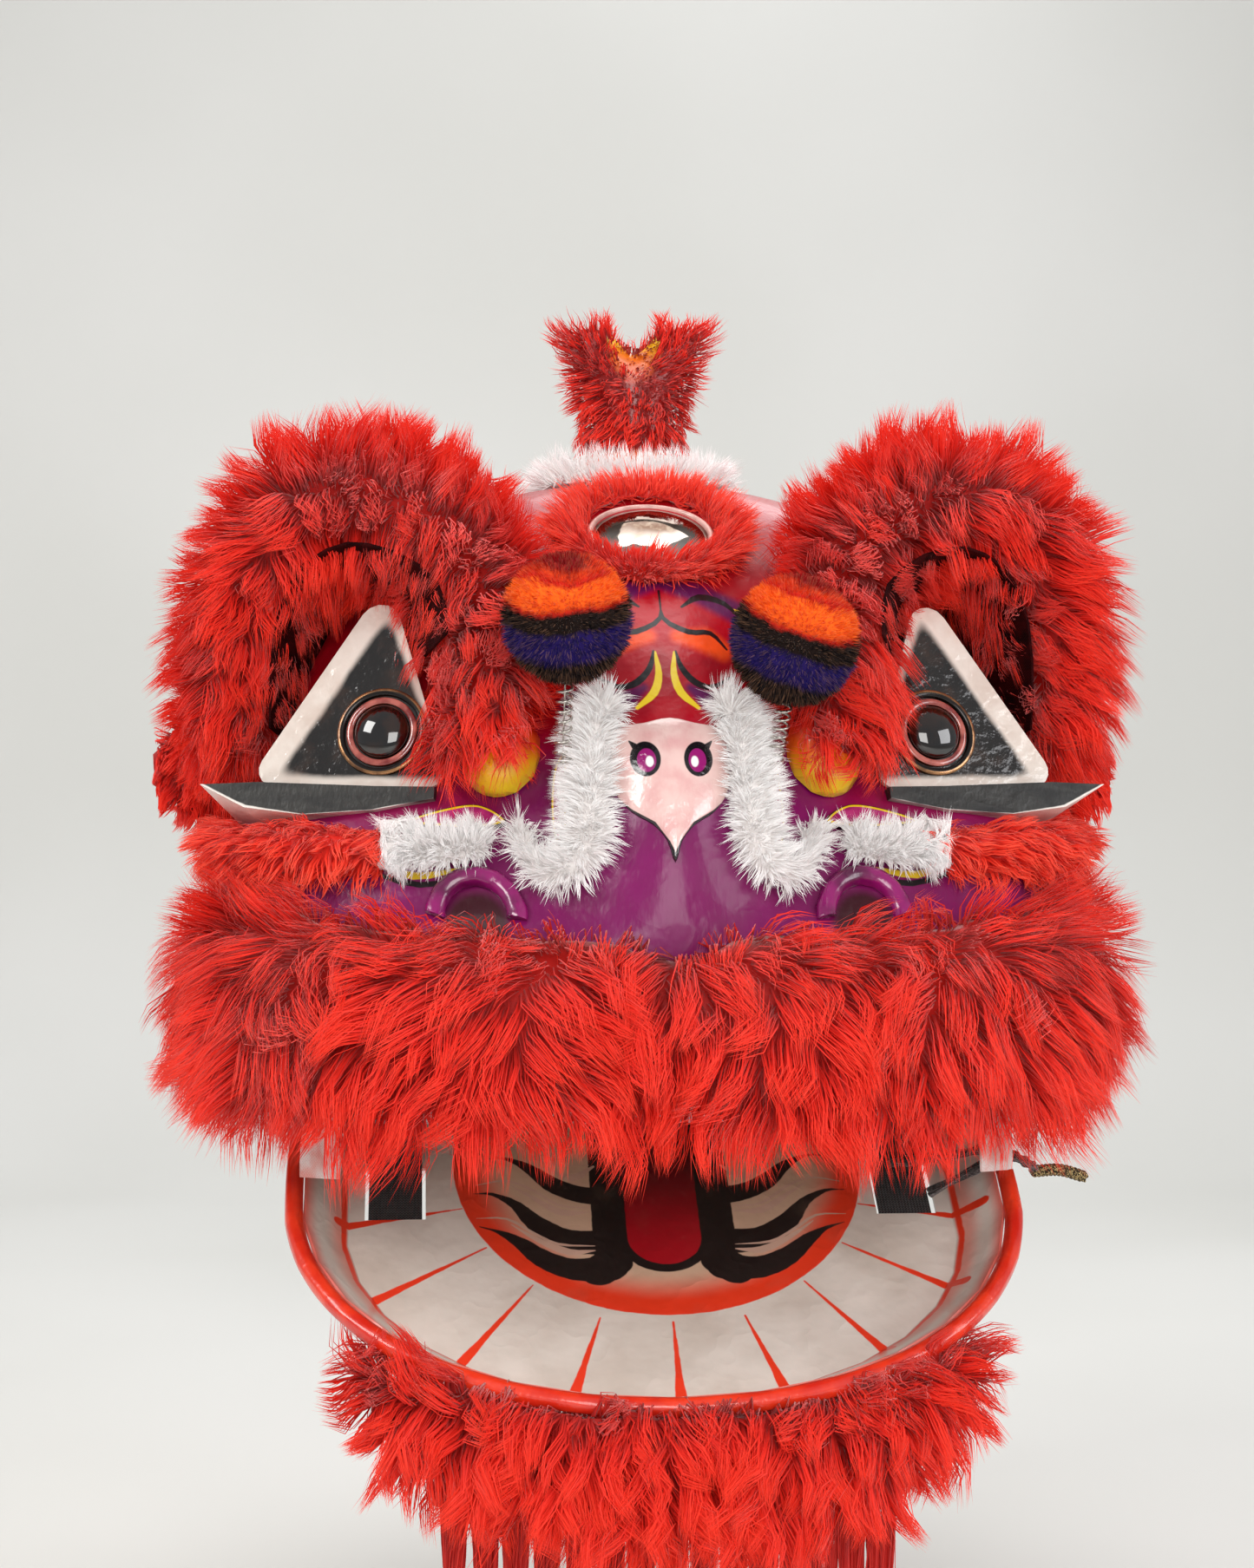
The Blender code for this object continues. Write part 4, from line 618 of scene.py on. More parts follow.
@dataclass(frozen=True)
class DyeAndShade:
    """Colours of a strand from root to tip, darker at the root as painted shade and lighter at the tip as a
    painted highlight, and how rough it is.
    """

    name: str
    root: Colour
    middle: Colour
    tip: Colour
    roughness: float = 0.6
    sheen: float = 0.25
    # painted glow: the pile gives off a little light in its own colour, standing in for light through the
    # strands
    glow: float = 0.05

    def finish(self) -> Finish:
        """The pile: darker at the root as painted shade, lighter at the tip as a painted highlight, with a
        faint painted glow, each strand and each patch a little different.
        """
        mix = Finish(self.name, Sheen_Weight=self.sheen, Sheen_Roughness=0.5, Specular_IOR_Level=0.3,
                     Emission_Strength=self.glow)
        along, tone = mix.attribute("along"), mix.attribute("tone")
        patch = mix.noise(14.0, 2.0)
        place = along * 0.86 + (tone - 0.5) * 0.22 + (patch - 0.5) * 0.3
        colour = mix.ramp(place, (0.0, self.root), (0.42, self.middle), (1.0, self.tip))
        # painted glow: the emission is the pile's own colour at the glow's strength
        mix.feed(Base_Color=colour, Emission_Color=colour, Roughness=self.roughness + (tone - 0.5) * 0.2)
        return mix


# Each pile: its own dye, darkened at the root as painted shade and lightened at the tip as a painted
# highlight.
RED_PILE = DyeAndShade("red_pile", paint(158, 8, 4), paint(232, 32, 13), paint(254, 62, 32))
BRIGHT_PILE = DyeAndShade("bright_pile", paint(204, 22, 10), paint(246, 56, 32), paint(255, 98, 70))
WHITE_PILE = DyeAndShade("white_pile", paint(243, 238, 236), paint(251, 249, 248), paint(255, 254, 254), 0.7, 0.5,
                 0.07)
FRINGE_YARN = DyeAndShade("fringe_yarn", paint(96, 8, 8), paint(190, 26, 20), paint(226, 60, 44), 0.5, 0.15)
# painted shade: the fleece under the strands takes the dark colour near the root end of the ramp
FLEECE_SHADE_ALONG = 0.12
FLEECE_TONE = 0.4
DEEP_PILE = {"width": 0.0015, "segments": 3, "bend": 0.95, "spread": 0.19}
SHORT_PILE = {"width": 0.0011, "segments": 2, "lock": 10, "clump": 0.35, "bend": 0.6}


def ribbons(line: Array, edge: Array) -> tuple[Array, Array, Array, Array]:
    """Ribbons along centre lines, an edge to each side, that end in a point.

    Args:
        line: Points of the centre lines, n by steps + 1 by 3.
        edge: From each point but the last to the ribbon's edge, n by steps by 3.

    Returns:
        The points, the faces' corners end to end, their sizes, and how far along its ribbon each point is.
    """
    count, steps = len(line), line.shape[1] - 1
    sides = np.stack((line[:, :-1] + edge, line[:, :-1] - edge), axis=2).reshape(count, 2 * steps, 3)
    points = np.concatenate((sides, line[:, -1:]), axis=1).reshape(-1, 3)
    quads = np.array([(2 * k, 2 * k + 1, 2 * k + 3, 2 * k + 2) for k in range(steps - 1)]).ravel()
    one = np.concatenate((quads, (2 * steps - 2, 2 * steps - 1, 2 * steps)))
    corners = (one[None] + (np.arange(count) * (2 * steps + 1))[:, None]).ravel()
    sizes = np.tile(np.array([4] * (steps - 1) + [3]), count)
    along = np.append(np.repeat(np.linspace(0, 1, steps + 1)[:-1], 2), 1.0)
    return points, corners, sizes, np.tile(along, count)


@dataclass
class FurCoat:
    """Fur on a CAD node: a fleece set in from its surface and coloured dark as painted shade between the
    strands, with tapered strands gathered into locks.
    """

    name: str
    node: str
    dye_and_shade: DyeAndShade | None
    slot: str
    strands: int
    length: float
    inset: float
    lie: Lie
    width: float = 0.0021
    bend: float = 0.75
    clump: float = 0.7
    lock: int = 32
    wave: float = 0.1
    swirl: float = 0.5
    segments: int = 4
    spread: float = 0.25
    seed: int = 1
    fleece: bool = True
    relax: int = 0
    under: float = 0.0
    reach: float = 1.0
    finish: Finish | None = None
    bare: tuple[float, float, float, float] | None = None
    centre: Triple = (0.0, 0.0, 0.3)

    def lying(self, roots: Array, normals: Array) -> tuple[Array, Array]:
        """The way each strand is combed, and its length as a share.

        Each is a sum of the outward normal, down, and the way out from the coat's centre, weighted by the
        height of the root in the coat or by where its normal points.
        """
        down = np.array((0.0, 0.0, -1.0))
        out = unit(roots - np.array(self.centre))
        low, high = roots[:, 2].min(), roots[:, 2].max()
        level = ((roots[:, 2] - low) / (high - low))[:, None]
        share = np.ones(len(roots))
        if self.lie is Lie.LIP:
            flat = unit(out * (1, 1, 0))
            crest = np.clip((level - 0.62) / 0.3, 0, 1)
            way = down * (1 - 1.55 * crest) + flat * (0.3 + 0.5 * crest) + normals * 0.2
            share = 0.8 + 0.35 * (1 - level[:, 0])
        elif self.lie is Lie.BROW:
            crest = np.clip(normals[:, 2:3], 0, 1)
            way = down * (0.85 - 0.9 * crest) + out * (0.55 + 0.4 * crest) + normals * 0.25
        elif self.lie is Lie.CHEEK:
            way = down * 0.6 + out * 0.5 + normals * 0.4
        elif self.lie is Lie.RING:
            way = out + normals * 0.5
        elif self.lie is Lie.PILE:
            way = normals + down * 0.25
        elif self.lie is Lie.HORN:
            way = normals * 0.5 + down * (0.9 - 1.6 * level)
            share = 0.8 + 0.4 * level[:, 0]
        else:
            crest = np.clip((level - 0.66) / 0.2, 0, 1)
            way = down * (1.1 - 1.15 * crest) + out * (1, 1, 0) * 0.45 + normals * 0.15
            share = 0.75 + 0.45 * (1 - level[:, 0])
        return unit(way), share

    def swirled(self, roots: Array, normals: Array, ways: Array) -> Array:
        """The combed ways turned about the normals by slow sums of sines over the coat."""
        x, y, z = roots.T
        turn = np.sin(31 * x + 9 * z + self.seed) + 0.8 * np.sin(-17 * x + 26 * y + 23 * z)
        turn += 0.5 * np.sin(61 * x - 37 * z + 2 * self.seed)
        angle = (self.swirl * turn * 0.6)[:, None]
        return unit(ways * np.cos(angle) + np.cross(normals, ways) * np.sin(angle))

    def curves(self, dice: np.random.Generator) -> tuple[Array, Array]:
        """Centre lines of the strands as n by segments + 1 by 3, and their normals.

        A strand starts along its normal and leans to its combed way by the bend times the share of its
        length to the power 0.38. A sine along it, in phase through a lock, waves it sideways. Then each
        point moves towards the same point of the lock's first strand by the clump times its share to the
        power 1.3. Last, what goes past the reach across is drawn in.
        """
        roots, normals = Solid.of(self.node).shrunk(self.inset, self.relax).scatter(self.strands, dice)
        if self.bare:
            x, z, wide, high = self.bare
            inside = ((roots[:, 0] - x) / wide) ** 2 + ((roots[:, 2] - z) / high) ** 2 < 1
            furred = ~(inside & (normals[:, 1] < 0.3))
            roots, normals = roots[furred], normals[furred]
        count = len(roots)
        ways, share = self.lying(roots, normals)
        ways = self.swirled(roots, normals, ways)
        guides = dice.choice(count, size=max(4, count // self.lock), replace=False)
        owner = np.empty(count, dtype=np.int64)
        for first in range(0, count, 2000):
            gaps = ((roots[first:first + 2000, None] - roots[None, guides]) ** 2).sum(axis=2)
            owner[first:first + 2000] = guides[gaps.argmin(axis=1)]
        lock_turn = dice.normal(0, 1.0, (count, 3))[owner]
        ways = unit(ways + self.spread * (0.9 * lock_turn + 0.55 * dice.normal(0, 1.0, (count, 3))))
        size = self.length * share * (0.78 + 0.44 * dice.random(count))
        size = size * (0.8 + 0.4 * dice.random(count)[owner])
        along = np.linspace(0, 1, self.segments + 1)
        line = [roots]
        for k in range(self.segments):
            lean = self.bend * ((k + 0.5) / self.segments) ** 0.38
            line.append(line[-1] + unit(normals * (1 - lean) + ways * lean) * (size / self.segments)[:, None])
        line = np.stack(line, axis=1)
        side = unit(np.cross(normals, ways))
        phase = (dice.random(count) * 6.28)[owner] + 0.5 * dice.normal(0, 1.0, count)
        push = self.wave * size[:, None] * np.sin(5.2 * along[None] + phase[:, None]) * along[None]
        line = line + side[:, None] * push[..., None]
        pull = (self.clump * along**1.3)[None, :, None]
        line = line + (line[owner] - line) * pull
        past = np.maximum(np.abs(line[..., 0]) - self.reach, 0.0)
        line[..., 0] -= np.sign(line[..., 0]) * past * past / (past + 0.018)
        return line, normals

    def build(self, walls: Walls | None = None) -> None:
        """Makes the piece: ribbons that narrow to a tip along the strands, and the fleece under them.

        A ribbon's edges lie to each side of its centre line, along the cross of its run and its normal,
        turned about the run by up to 0.8 radians. Its width falls as one less its share, to the power 0.7.
        """
        dice = np.random.default_rng(self.seed)
        line, normals = self.curves(dice)
        if walls is not None:
            middle = self.segments // 2 + 1
            keep = walls.clear(line[:, middle]) & walls.clear(line[:, -1], 0.006)
            line, normals = line[keep], normals[keep]
        count, steps = len(line), self.segments
        run = unit(np.gradient(line, axis=1))
        side = unit(np.cross(run, normals[:, None]))
        angle = dice.uniform(-0.8, 0.8, (count, 1, 1))
        side = side * np.cos(angle) + np.cross(run, side) * np.sin(angle)
        share = np.linspace(0, 1, steps + 1)
        half = 0.5 * self.width * (1 - share[:-1]) ** 0.7 * (0.7 + 0.6 * dice.random((count, 1)))
        points, corners, sizes, along = ribbons(line, side[:, :-1] * half[..., None])
        tone = np.repeat(dice.random(count), 2 * steps + 1)
        if self.fleece:
            solid = Solid.of(self.node).shrunk(self.inset + self.under, self.relax)
            spare = len(solid.points)
            corners = np.append(corners, solid.triangles + len(points))
            sizes = np.append(sizes, np.full(len(solid.triangles), 3))
            points = np.concatenate((points, solid.points))
            # painted shade: the fleece is coloured from near the root end of the ramp, dark as the shade
            # between strands
            along = np.append(along, np.full(spare, FLEECE_SHADE_ALONG))
            tone = np.append(tone, np.full(spare, FLEECE_TONE))
        mesh = mesh_of(self.name, points, corners, sizes, {"along": along, "tone": tone}, None)
        mesh.shade_smooth()
        add_piece(self.name, mesh, self.finish or dye_and_shade_finish(self.dye_and_shade), self.slot, self.node)


@cache
def dye_and_shade_finish(dye_and_shade: DyeAndShade) -> Finish:
    """The finish of a pile's dye and painted shade, made once."""
    return dye_and_shade.finish()


@dataclass
class Coats:
    """All the fur on the head."""

    def build(self) -> None:
        """Makes each coat."""
        walls = Walls("head_shell")
        FurCoat("lip_coat", "lip_fur", RED_PILE, "red_fur", 38500, 0.06, 0.022, Lie.LIP, seed=3,
                lock=56, clump=0.52, wave=0.13, swirl=0.8, reach=0.428, relax=3, under=0.006,
                centre=(0.0, 0.02, 0.14), **DEEP_PILE).build(walls)
        for side, sign in SIDES:
            turn = int(sign)
            FurCoat(f"brow_coat_{side}", f"brow_fur_{side}", RED_PILE, "red_fur", 26000, 0.052, 0.018,
                    Lie.BROW, seed=5 + turn, lock=48, clump=0.5, wave=0.12, swirl=0.7, reach=0.43, relax=1,
                    centre=(sign * 0.245, 0.02, 0.44), **DEEP_PILE).build(walls)
            FurCoat(f"cheek_coat_{side}", f"cheek_fur_{side}", BRIGHT_PILE, "bright_fur", 5200, 0.026, 0.009,
                    Lie.CHEEK, seed=15 + turn, segments=3, lock=18, width=0.0018, clump=0.5,
                    bend=0.9).build(walls)
            for part, strands in (("inner", 9500), ("outer", 8000)):
                node = f"trim_{part}_{side}"
                FurCoat(f"{node}_coat", node, WHITE_PILE, "white_fur", strands, 0.0205, 0.0085, Lie.PILE,
                        spread=0.32, wave=0.08, seed=21 + turn, **SHORT_PILE).build(walls)
            FurCoat(f"ear_coat_{side}", f"ear_{side}", RED_PILE, "bright_fur", 3800, 0.036, 0.005, Lie.CHEEK,
                    reach=0.43, seed=31 + turn, lock=26, segments=3,
                    centre=(sign * 0.33, -0.02, 0.37)).build()
        FurCoat("mirror_coat", "mirror_fur", BRIGHT_PILE, "bright_fur", 11000, 0.024, 0.0085, Lie.RING,
                width=0.0012, segments=2, lock=9, clump=0.3, spread=0.2, wave=0.05, bend=0.7, seed=41,
                centre=MIRROR_PLACE).build(walls)
        FurCoat("horn_coat", "horn_fur", RED_PILE, "red_fur", 7000, 0.024, 0.009, Lie.HORN, width=0.0017,
                segments=3, lock=18, seed=43, centre=(0.0, 0.105, 0.68), clump=0.3, bend=0.95, spread=0.14,
                fleece=False, bare=(0.0, 0.745, 0.02, 0.034)).build()
        FurCoat("horn_base_coat", "horn_base_fur", WHITE_PILE, "white_fur", 9000, 0.025, 0.009, Lie.PILE,
                spread=0.35, seed=45, **SHORT_PILE).build(walls)
        FurCoat("beard_coat", "beard_fur", RED_PILE, "red_fur", 17000, 0.056, 0.009, Lie.HANG, seed=47,
                lock=46, segments=3, wave=0.2, width=0.0018, bend=0.9, clump=0.62, swirl=0.6, relax=2,
                under=0.006, centre=(0.0, -0.05, -0.16)).build(Walls("jaw_dish"))


def facing(place: Triple, yaw: float, pitch: float) -> Array:
    """A frame as 4 by 4: its Z looks forward from the place, turned by yaw and tipped up by pitch."""
    turn = Matrix.Rotation(yaw, 4, "Z") @ Matrix.Rotation(math.radians(90) - pitch, 4, "X")
    return np.array(Matrix.Translation(place) @ turn)


def eye_frame(sign: float) -> Array:
    """The frame of an eye; the sign is -1 for the left one and 1 for the right one."""
    return facing((sign * EYE_PLACE[0], *EYE_PLACE[1:]), sign * EYE_YAW, EYE_PITCH)


def smooth_line(rows: Array, steps: int) -> Array:
    """A cubic through the rows: stretches meet in their ends and slopes, half the gap between neighbours."""
    rows = np.asarray(rows, dtype=float)
    padded = np.concatenate((2 * rows[:1] - rows[1:2], rows, 2 * rows[-1:] - rows[-2:-1]))
    t = (np.arange(steps) / steps)[None, :, None]
    a, b, c, d = (padded[k:len(rows) - 1 + k][:, None] for k in range(4))
    line = 0.5 * (2 * b + (c - a) * t + (2 * a - 5 * b + 4 * c - d) * t**2 + (3 * b - a - 3 * c + d) * t**3)
    return np.concatenate((line.reshape(-1, rows.shape[1]), rows[-1:]))


def turned(name: str, profile: Array, steps: int, frame: Array, closed: bool = False) -> bpy.types.Mesh:
    """A profile of radius and height carried round an axis: radius times cosine, radius times sine, height.

    An open profile starts and ends on the axis, where its points are merged; a closed one comes round again.
    """
    profile = np.asarray(profile, dtype=float)
    angle = circle(steps)
    radius, height = profile[:, :1], profile[:, 1:]
    points = np.stack((radius * np.cos(angle), radius * np.sin(angle), height + 0 * angle), axis=-1)
    if closed:
        points = np.concatenate((points, points[:1]))
    faces = grid_faces(len(points), steps)
    return welded(name, points.reshape(-1, 3) @ frame[:3, :3].T + frame[:3, 3], faces)


def welded(name: str, points: Array, faces: Array, smooth: float = 40.0) -> bpy.types.Mesh:
    """A mesh of quads whose points that meet are one, with no face folded flat, and faces pointing out."""
    points, faces = merged(points, faces, 1e-6)
    same = faces == np.roll(faces, -1, axis=1)
    whole = faces[same.sum(axis=1) == 0]
    bent = faces[same.sum(axis=1) == 1]
    triangles = bent[~same[same.sum(axis=1) == 1]].reshape(-1, 3)
    corners = np.concatenate((whole.ravel(), triangles.ravel()))
    sizes = np.concatenate((np.full(len(whole), 4), np.full(len(triangles), 3)))
    mesh = mesh_of(name, points, corners, sizes, smooth=smooth)
    settle(mesh)
    return mesh


def settle(mesh: bpy.types.Mesh, merge: bool = False) -> None:
    """Turns a closed mesh's faces outwards; with merge, points that meet become one before that."""
    shape = bmesh.new()
    shape.from_mesh(mesh)
    if merge:
        bmesh.ops.remove_doubles(shape, verts=shape.verts, dist=1e-6)
    bmesh.ops.recalc_face_normals(shape, faces=shape.faces)
    shape.to_mesh(mesh)
    shape.free()


def tube(path: Array, radius: float, around: int) -> tuple[Array, Array]:
    """A round tube along a path, as points and quads.

    Each ring is the path's point plus the radius times cosine and sine along two ways square to its run. The
    start closes to a point, and the end stays open where another piece hides it.
    """
    run = unit(np.gradient(path, axis=0))
    up = np.where(np.abs(run[:, 2:]) < 0.9, (0.0, 0.0, 1.0), (1.0, 0.0, 0.0))
    first = unit(np.cross(run, up))
    second = np.cross(run, first)
    angle = circle(around)
    ring = first[:, None] * np.cos(angle)[None, :, None] + second[:, None] * np.sin(angle)[None, :, None]
    points = np.concatenate((np.repeat(path[:1, None], around, axis=1), path[:, None] + ring * radius))
    return points.reshape(-1, 3), grid_faces(len(points), around)


def joined(parts: list[tuple[Array, Array]]) -> tuple[Array, Array]:
    """Several sets of points and quads as one."""
    points, faces, total = [], [], 0
    for some, quads in parts:
        points.append(some)
        faces.append(quads + total)
        total += len(some)
    return np.concatenate(points), np.concatenate(faces)


class Enamel:
    """The glossy paints of the head."""

    @staticmethod
    def start(name: str, roughness: float = 0.2, coat: float = 0.6) -> Finish:
        """A varnished paint."""
        return Finish(name, Roughness=roughness, Coat_Weight=coat, Coat_Roughness=0.06)

    @staticmethod
    def crinkle(mix: Finish, scale: float, depth: float) -> Wire:
        """Varnished paper: broad soft wrinkles with finer brush marks on them; sets the bump."""
        folds = mix.noise(scale, 3.0)
        ridges = abs(folds - 0.5)
        brush = mix.noise(scale * 7, 2.0, (1.0, 1.0, 0.35))
        mix.bump(ridges * -1.4 + brush * 0.25 + folds * 0.6, depth)
        return folds

    @classmethod
    def plain(cls, name: str, light: Colour, dark: Colour, roughness: float = 0.2, scale: float = 30.0,
              depth: float = 0.0015) -> Finish:
        """One paint that goes darker in patches, with its gloss worn a little."""
        mix = cls.start(name)
        folds = cls.crinkle(mix, scale, depth)
        mix.worn(folds, (0.35, 0.7), (light, dark), (0.25, roughness - 0.1))
        return mix

    @classmethod
    def face(cls) -> Finish:
        """The face: crimson over purple, orange clouds, black lines and yellow bands, alike on both sides,
        with a dark disc of painted shade at each nostril.

        Each line is a stroke in width and height across the face, and each cloud a stroke with a wide edge.
        The back of the head is plain crimson, and its inside bare paper.
        """
        mix = Finish("face_paint", Coat_Roughness=0.08, Specular_IOR_Level=0.3)
        x, y, z = mix.axes()
        u = abs(x)
        place = mix.plane(u, z)
        drift = mix.noise(55.0, 3.0)
        wash = mix.noise(16.0, 4.0)
        crimson, magenta, purple = paint(178, 8, 30), paint(122, 12, 92), paint(96, 22, 84)
        orange, yellow, ink = paint(252, 84, 22), paint(238, 206, 46), (0.006, 0.004, 0.006)
        colour = mix.blend((z + (wash - 0.5) * 0.03).ease(0.335, 0.385), magenta, crimson)
        for rows, edge, core, tint in (
                (((0.0, 0.5, 0.004), (0.035, 0.49, 0.008), (0.075, 0.47, 0.009)), 0.006, -0.003, purple),
                (((0.012, 0.452, 0.004), (0.035, 0.449, 0.009), (0.05, 0.44, 0.007)), 0.006, -0.004, orange),
                (((0.019, 0.408, 0.003), (0.034, 0.398, 0.008), (0.07, 0.392, 0.015)), 0.004, -0.003, purple)):
            colour = mix.blend(mix.stroke(place, rows).ease(edge, core), colour, tint)
        side = u.ease(0.11, 0.17) * z.ease(0.35, 0.32)
        colour = mix.blend(side, colour, paint(150, 12, 60))
        flame = mix.stroke(place, ((0.265, 0.27, 0.016), (0.33, 0.285, 0.012))) + (drift - 0.5) * 0.02
        colour = mix.blend(flame.ease(0.006, -0.008), colour, paint(250, 150, 30))
        dark = mix.blend(wash.ease(0.45, 0.66) * 0.35, colour, paint(70, 4, 26))
        colour = mix.blend(z.ease(0.34, 0.27), dark, mix.blend(wash, paint(142, 20, 108), paint(98, 8, 62)))
        band = mix.sweep(
            place,
            ((0.008, 0.438, 0.001), (0.0062, 0.42, 0.0026), (0.011, 0.404, 0.0032), (0.025, 0.3915, 0.0014)),
            ((0.06, 0.478, 0.0006), (0.08, 0.47, 0.002), (0.094, 0.452, 0.001)),
            ((0.165, 0.262, 0.001), (0.205, 0.256, 0.0028), (0.24, 0.268, 0.001)))
        colour = mix.blend(band.ease(0.0006, -0.0004), colour, yellow)
        line = mix.sweep(
            place,
            ((0.0, 0.492, 0.001), (0.001, 0.468, 0.0018), (0.0216, 0.456, 0.0024), (0.0407, 0.4552, 0.002),
             (0.054, 0.4415, 0.0008)),
            ((0.0092, 0.439, 0.0008), (0.013, 0.425, 0.0024), (0.0235, 0.413, 0.0028), (0.038, 0.409, 0.0022),
             (0.056, 0.418, 0.0009)),
            ((0.018, 0.478, 0.001), (0.034, 0.487, 0.0028), (0.056, 0.482, 0.0022), (0.072, 0.466, 0.0008)),
            ((0.15, 0.258, 0.0008), (0.2, 0.249, 0.0024), (0.25, 0.262, 0.0008)))
        colour = mix.blend((line + (drift - 0.5) * 0.0008).ease(0.0005, -0.0004), colour, ink)
        # painted shade: a dark disc stands for the shaded nostril opening, which this shell does not cut
        nostril_shade = mix.disc(place, (0.155, 0.22), (0.026, 0.024))
        colour = mix.blend(nostril_shade.ease(0.006, -0.006), colour, paint(58, 3, 20))
        hem = mix.blend(wash.ease(0.45, 0.6), paint(206, 204, 206), paint(176, 172, 182))
        scroll = mix.stroke(place, ((0.18, 0.07, 0.003), (0.24, 0.09, 0.007), (0.3, 0.066, 0.004)))
        hem = mix.blend(scroll.ease(0.002, -0.002), hem, paint(44, 60, 150))
        colour = mix.blend(z.ease(0.125, 0.118), colour, hem)
        back = mix.blend(wash.ease(0.3, 0.75), paint(172, 12, 22), paint(148, 9, 20))
        back = mix.blend(z.ease(0.03, 0.026), back, paint(214, 160, 40))
        colour = mix.blend(y.ease(0.02, -0.03), back, colour)
        paper = mix.blend(wash, paint(150, 120, 86), paint(196, 168, 128))
        inside = mix.attribute("inside")
        colour = mix.blend(inside, colour, paper)
        folds = cls.crinkle(mix, 26.0, 0.0016)
        gloss = 0.14 - inside * 0.14
        mix.feed(Base_Color=colour, Roughness=folds * 0.3 + 0.2 + inside * 0.4, Coat_Weight=gloss)
        return mix

    @classmethod
    def nose(cls) -> Finish:
        """The nose plate: pinkish white, a black edge along its point and two painted drops for eyes."""
        mix = cls.start("nose_enamel", coat=0.8)
        x, _, z = mix.axes()
        place = mix.plane(abs(x), z)
        wash = mix.noise(40.0, 4.0)
        colour = mix.blend(wash.ease(0.4, 0.7), paint(232, 196, 190), paint(222, 168, 166))
        drop = mix.disc(place, (0.0212, 0.35), (0.0118, 0.0138))
        drop = drop.least(mix.stroke(place, ((0.026, 0.357, 0.004), (0.033, 0.364, 0.0006))))
        edge = mix.stroke(place, ((0.043, 0.315, 0.0022), (0.033, 0.3075, 0.002), (0.0165, 0.2985, 0.002),
                                  (0.006, 0.284, 0.0022), (0.0, 0.27, 0.0028)))
        outside = mix.stroke(place, ((0.05, 0.3, 0.006), (0.03, 0.285, 0.01), (0.012, 0.268, 0.006)))
        ink = edge.least(drop)
        colour = mix.blend(outside.ease(0.001, -0.001), colour, paint(122, 12, 92))
        colour = mix.blend(ink.ease(0.0006, -0.0003), colour, (0.008, 0.006, 0.008))
        inner = mix.disc(place, (0.0203, 0.349), (0.0074, 0.0094))
        white = mix.disc(place, (0.018, 0.348), (0.003, 0.0042))
        colour = mix.blend(inner.ease(0.0004, -0.0004), colour, paint(150, 30, 110))
        colour = mix.blend(white.ease(0.0006, -0.0004), colour, paint(244, 240, 240))
        cls.crinkle(mix, 60.0, 0.0012)
        mix.feed(Base_Color=colour, Roughness=wash * 0.2 + 0.08)
        return mix

    @classmethod
    def eye_board(cls, sign: float) -> Finish:
        """An eye's board: a black rounded triangle airbrushed into a warm white border.

        The board's own across and up are the place less the eye's centre, turned back by its yaw and pitch.
        """
        mix = cls.start(f"eye_board_{'left' if sign < 0 else 'right'}", coat=0.9)
        across, up, out = mix.eye_axes(mix.object, sign, 3)
        place = mix.plane(across, up)
        body = mix.corner_shape(place, ((-0.058, -0.04), (0.086, -0.038), (0.003, 0.104)), 0.018)
        wash = mix.noise(42.0, 4.0)
        white = mix.blend(wash.ease(0.3, 0.75), paint(232, 222, 212), paint(214, 198, 186))
        streak = (wash + (0.4 - across * 3.0) * 0.2).ease(0.52, 0.86)
        dark = mix.blend(streak, (0.007, 0.005, 0.004), paint(52, 34, 24))
        colour = mix.blend((body + (wash - 0.5) * 0.005).ease(0.0035, -0.0035), white, dark)
        edge = mix.blend(out.ease(-0.002, -0.006), colour, (0.02, 0.012, 0.01))
        folds = mix.noise(34.0, 4.0)
        pits = mix.noise(210.0, 2.0)
        mix.bump(abs(folds - 0.5) * -1.2 + pits * 0.12, 0.002)
        mix.feed(Base_Color=edge, Roughness=wash * 0.16 + 0.05)
        return mix

    @classmethod
    def ledge(cls, sign: float) -> Finish:
        """The ledge under an eye: grey-green brushed over black, white along its lower edge."""
        mix = cls.start(f"ledge_{'left' if sign < 0 else 'right'}", coat=0.15)
        across, up = mix.eye_axes(mix.object, sign)
        place = mix.plane(across, up)
        lower = mix.stroke(place, ((-0.05, -0.064, 0.003), (0.0, -0.0735, 0.003), (0.06, -0.0775, 0.003),
                                   (0.11, -0.07, 0.003), (0.152, -0.05, 0.003)))
        wash = mix.noise(70.0, 4.0, (0.4, 1.0, 1.6))
        colour = mix.blend(wash.ease(0.35, 0.7), paint(36, 35, 31), paint(10, 9, 8))
        colour = mix.blend(across.ease(-0.02, -0.05), colour, (0.02, 0.018, 0.016))
        colour = mix.blend((lower + (wash - 0.5) * 0.002).ease(0.0014, 0.0002), colour, paint(232, 226, 218))
        cls.crinkle(mix, 60.0, 0.0012)
        mix.feed(Base_Color=colour, Roughness=wash * 0.3 + 0.34)
        return mix

    @classmethod
    def bump_side(cls) -> Finish:
        """The cheek bumps: yellow below, orange and then red above."""
        mix = cls.start("cheek_enamel")
        _, _, z = mix.axes()
        wash = mix.noise(40.0, 3.0)
        place = (z + (wash - 0.5) * 0.012 - 0.328) * 17.0
        colour = mix.ramp(place, (0.0, paint(252, 216, 40)), (0.3, paint(252, 190, 24)),
                          (0.52, paint(250, 110, 22)), (0.85, paint(214, 30, 20)))
        cls.crinkle(mix, 40.0, 0.0012)
        mix.feed(Base_Color=colour, Roughness=wash * 0.2 + 0.12)
        return mix

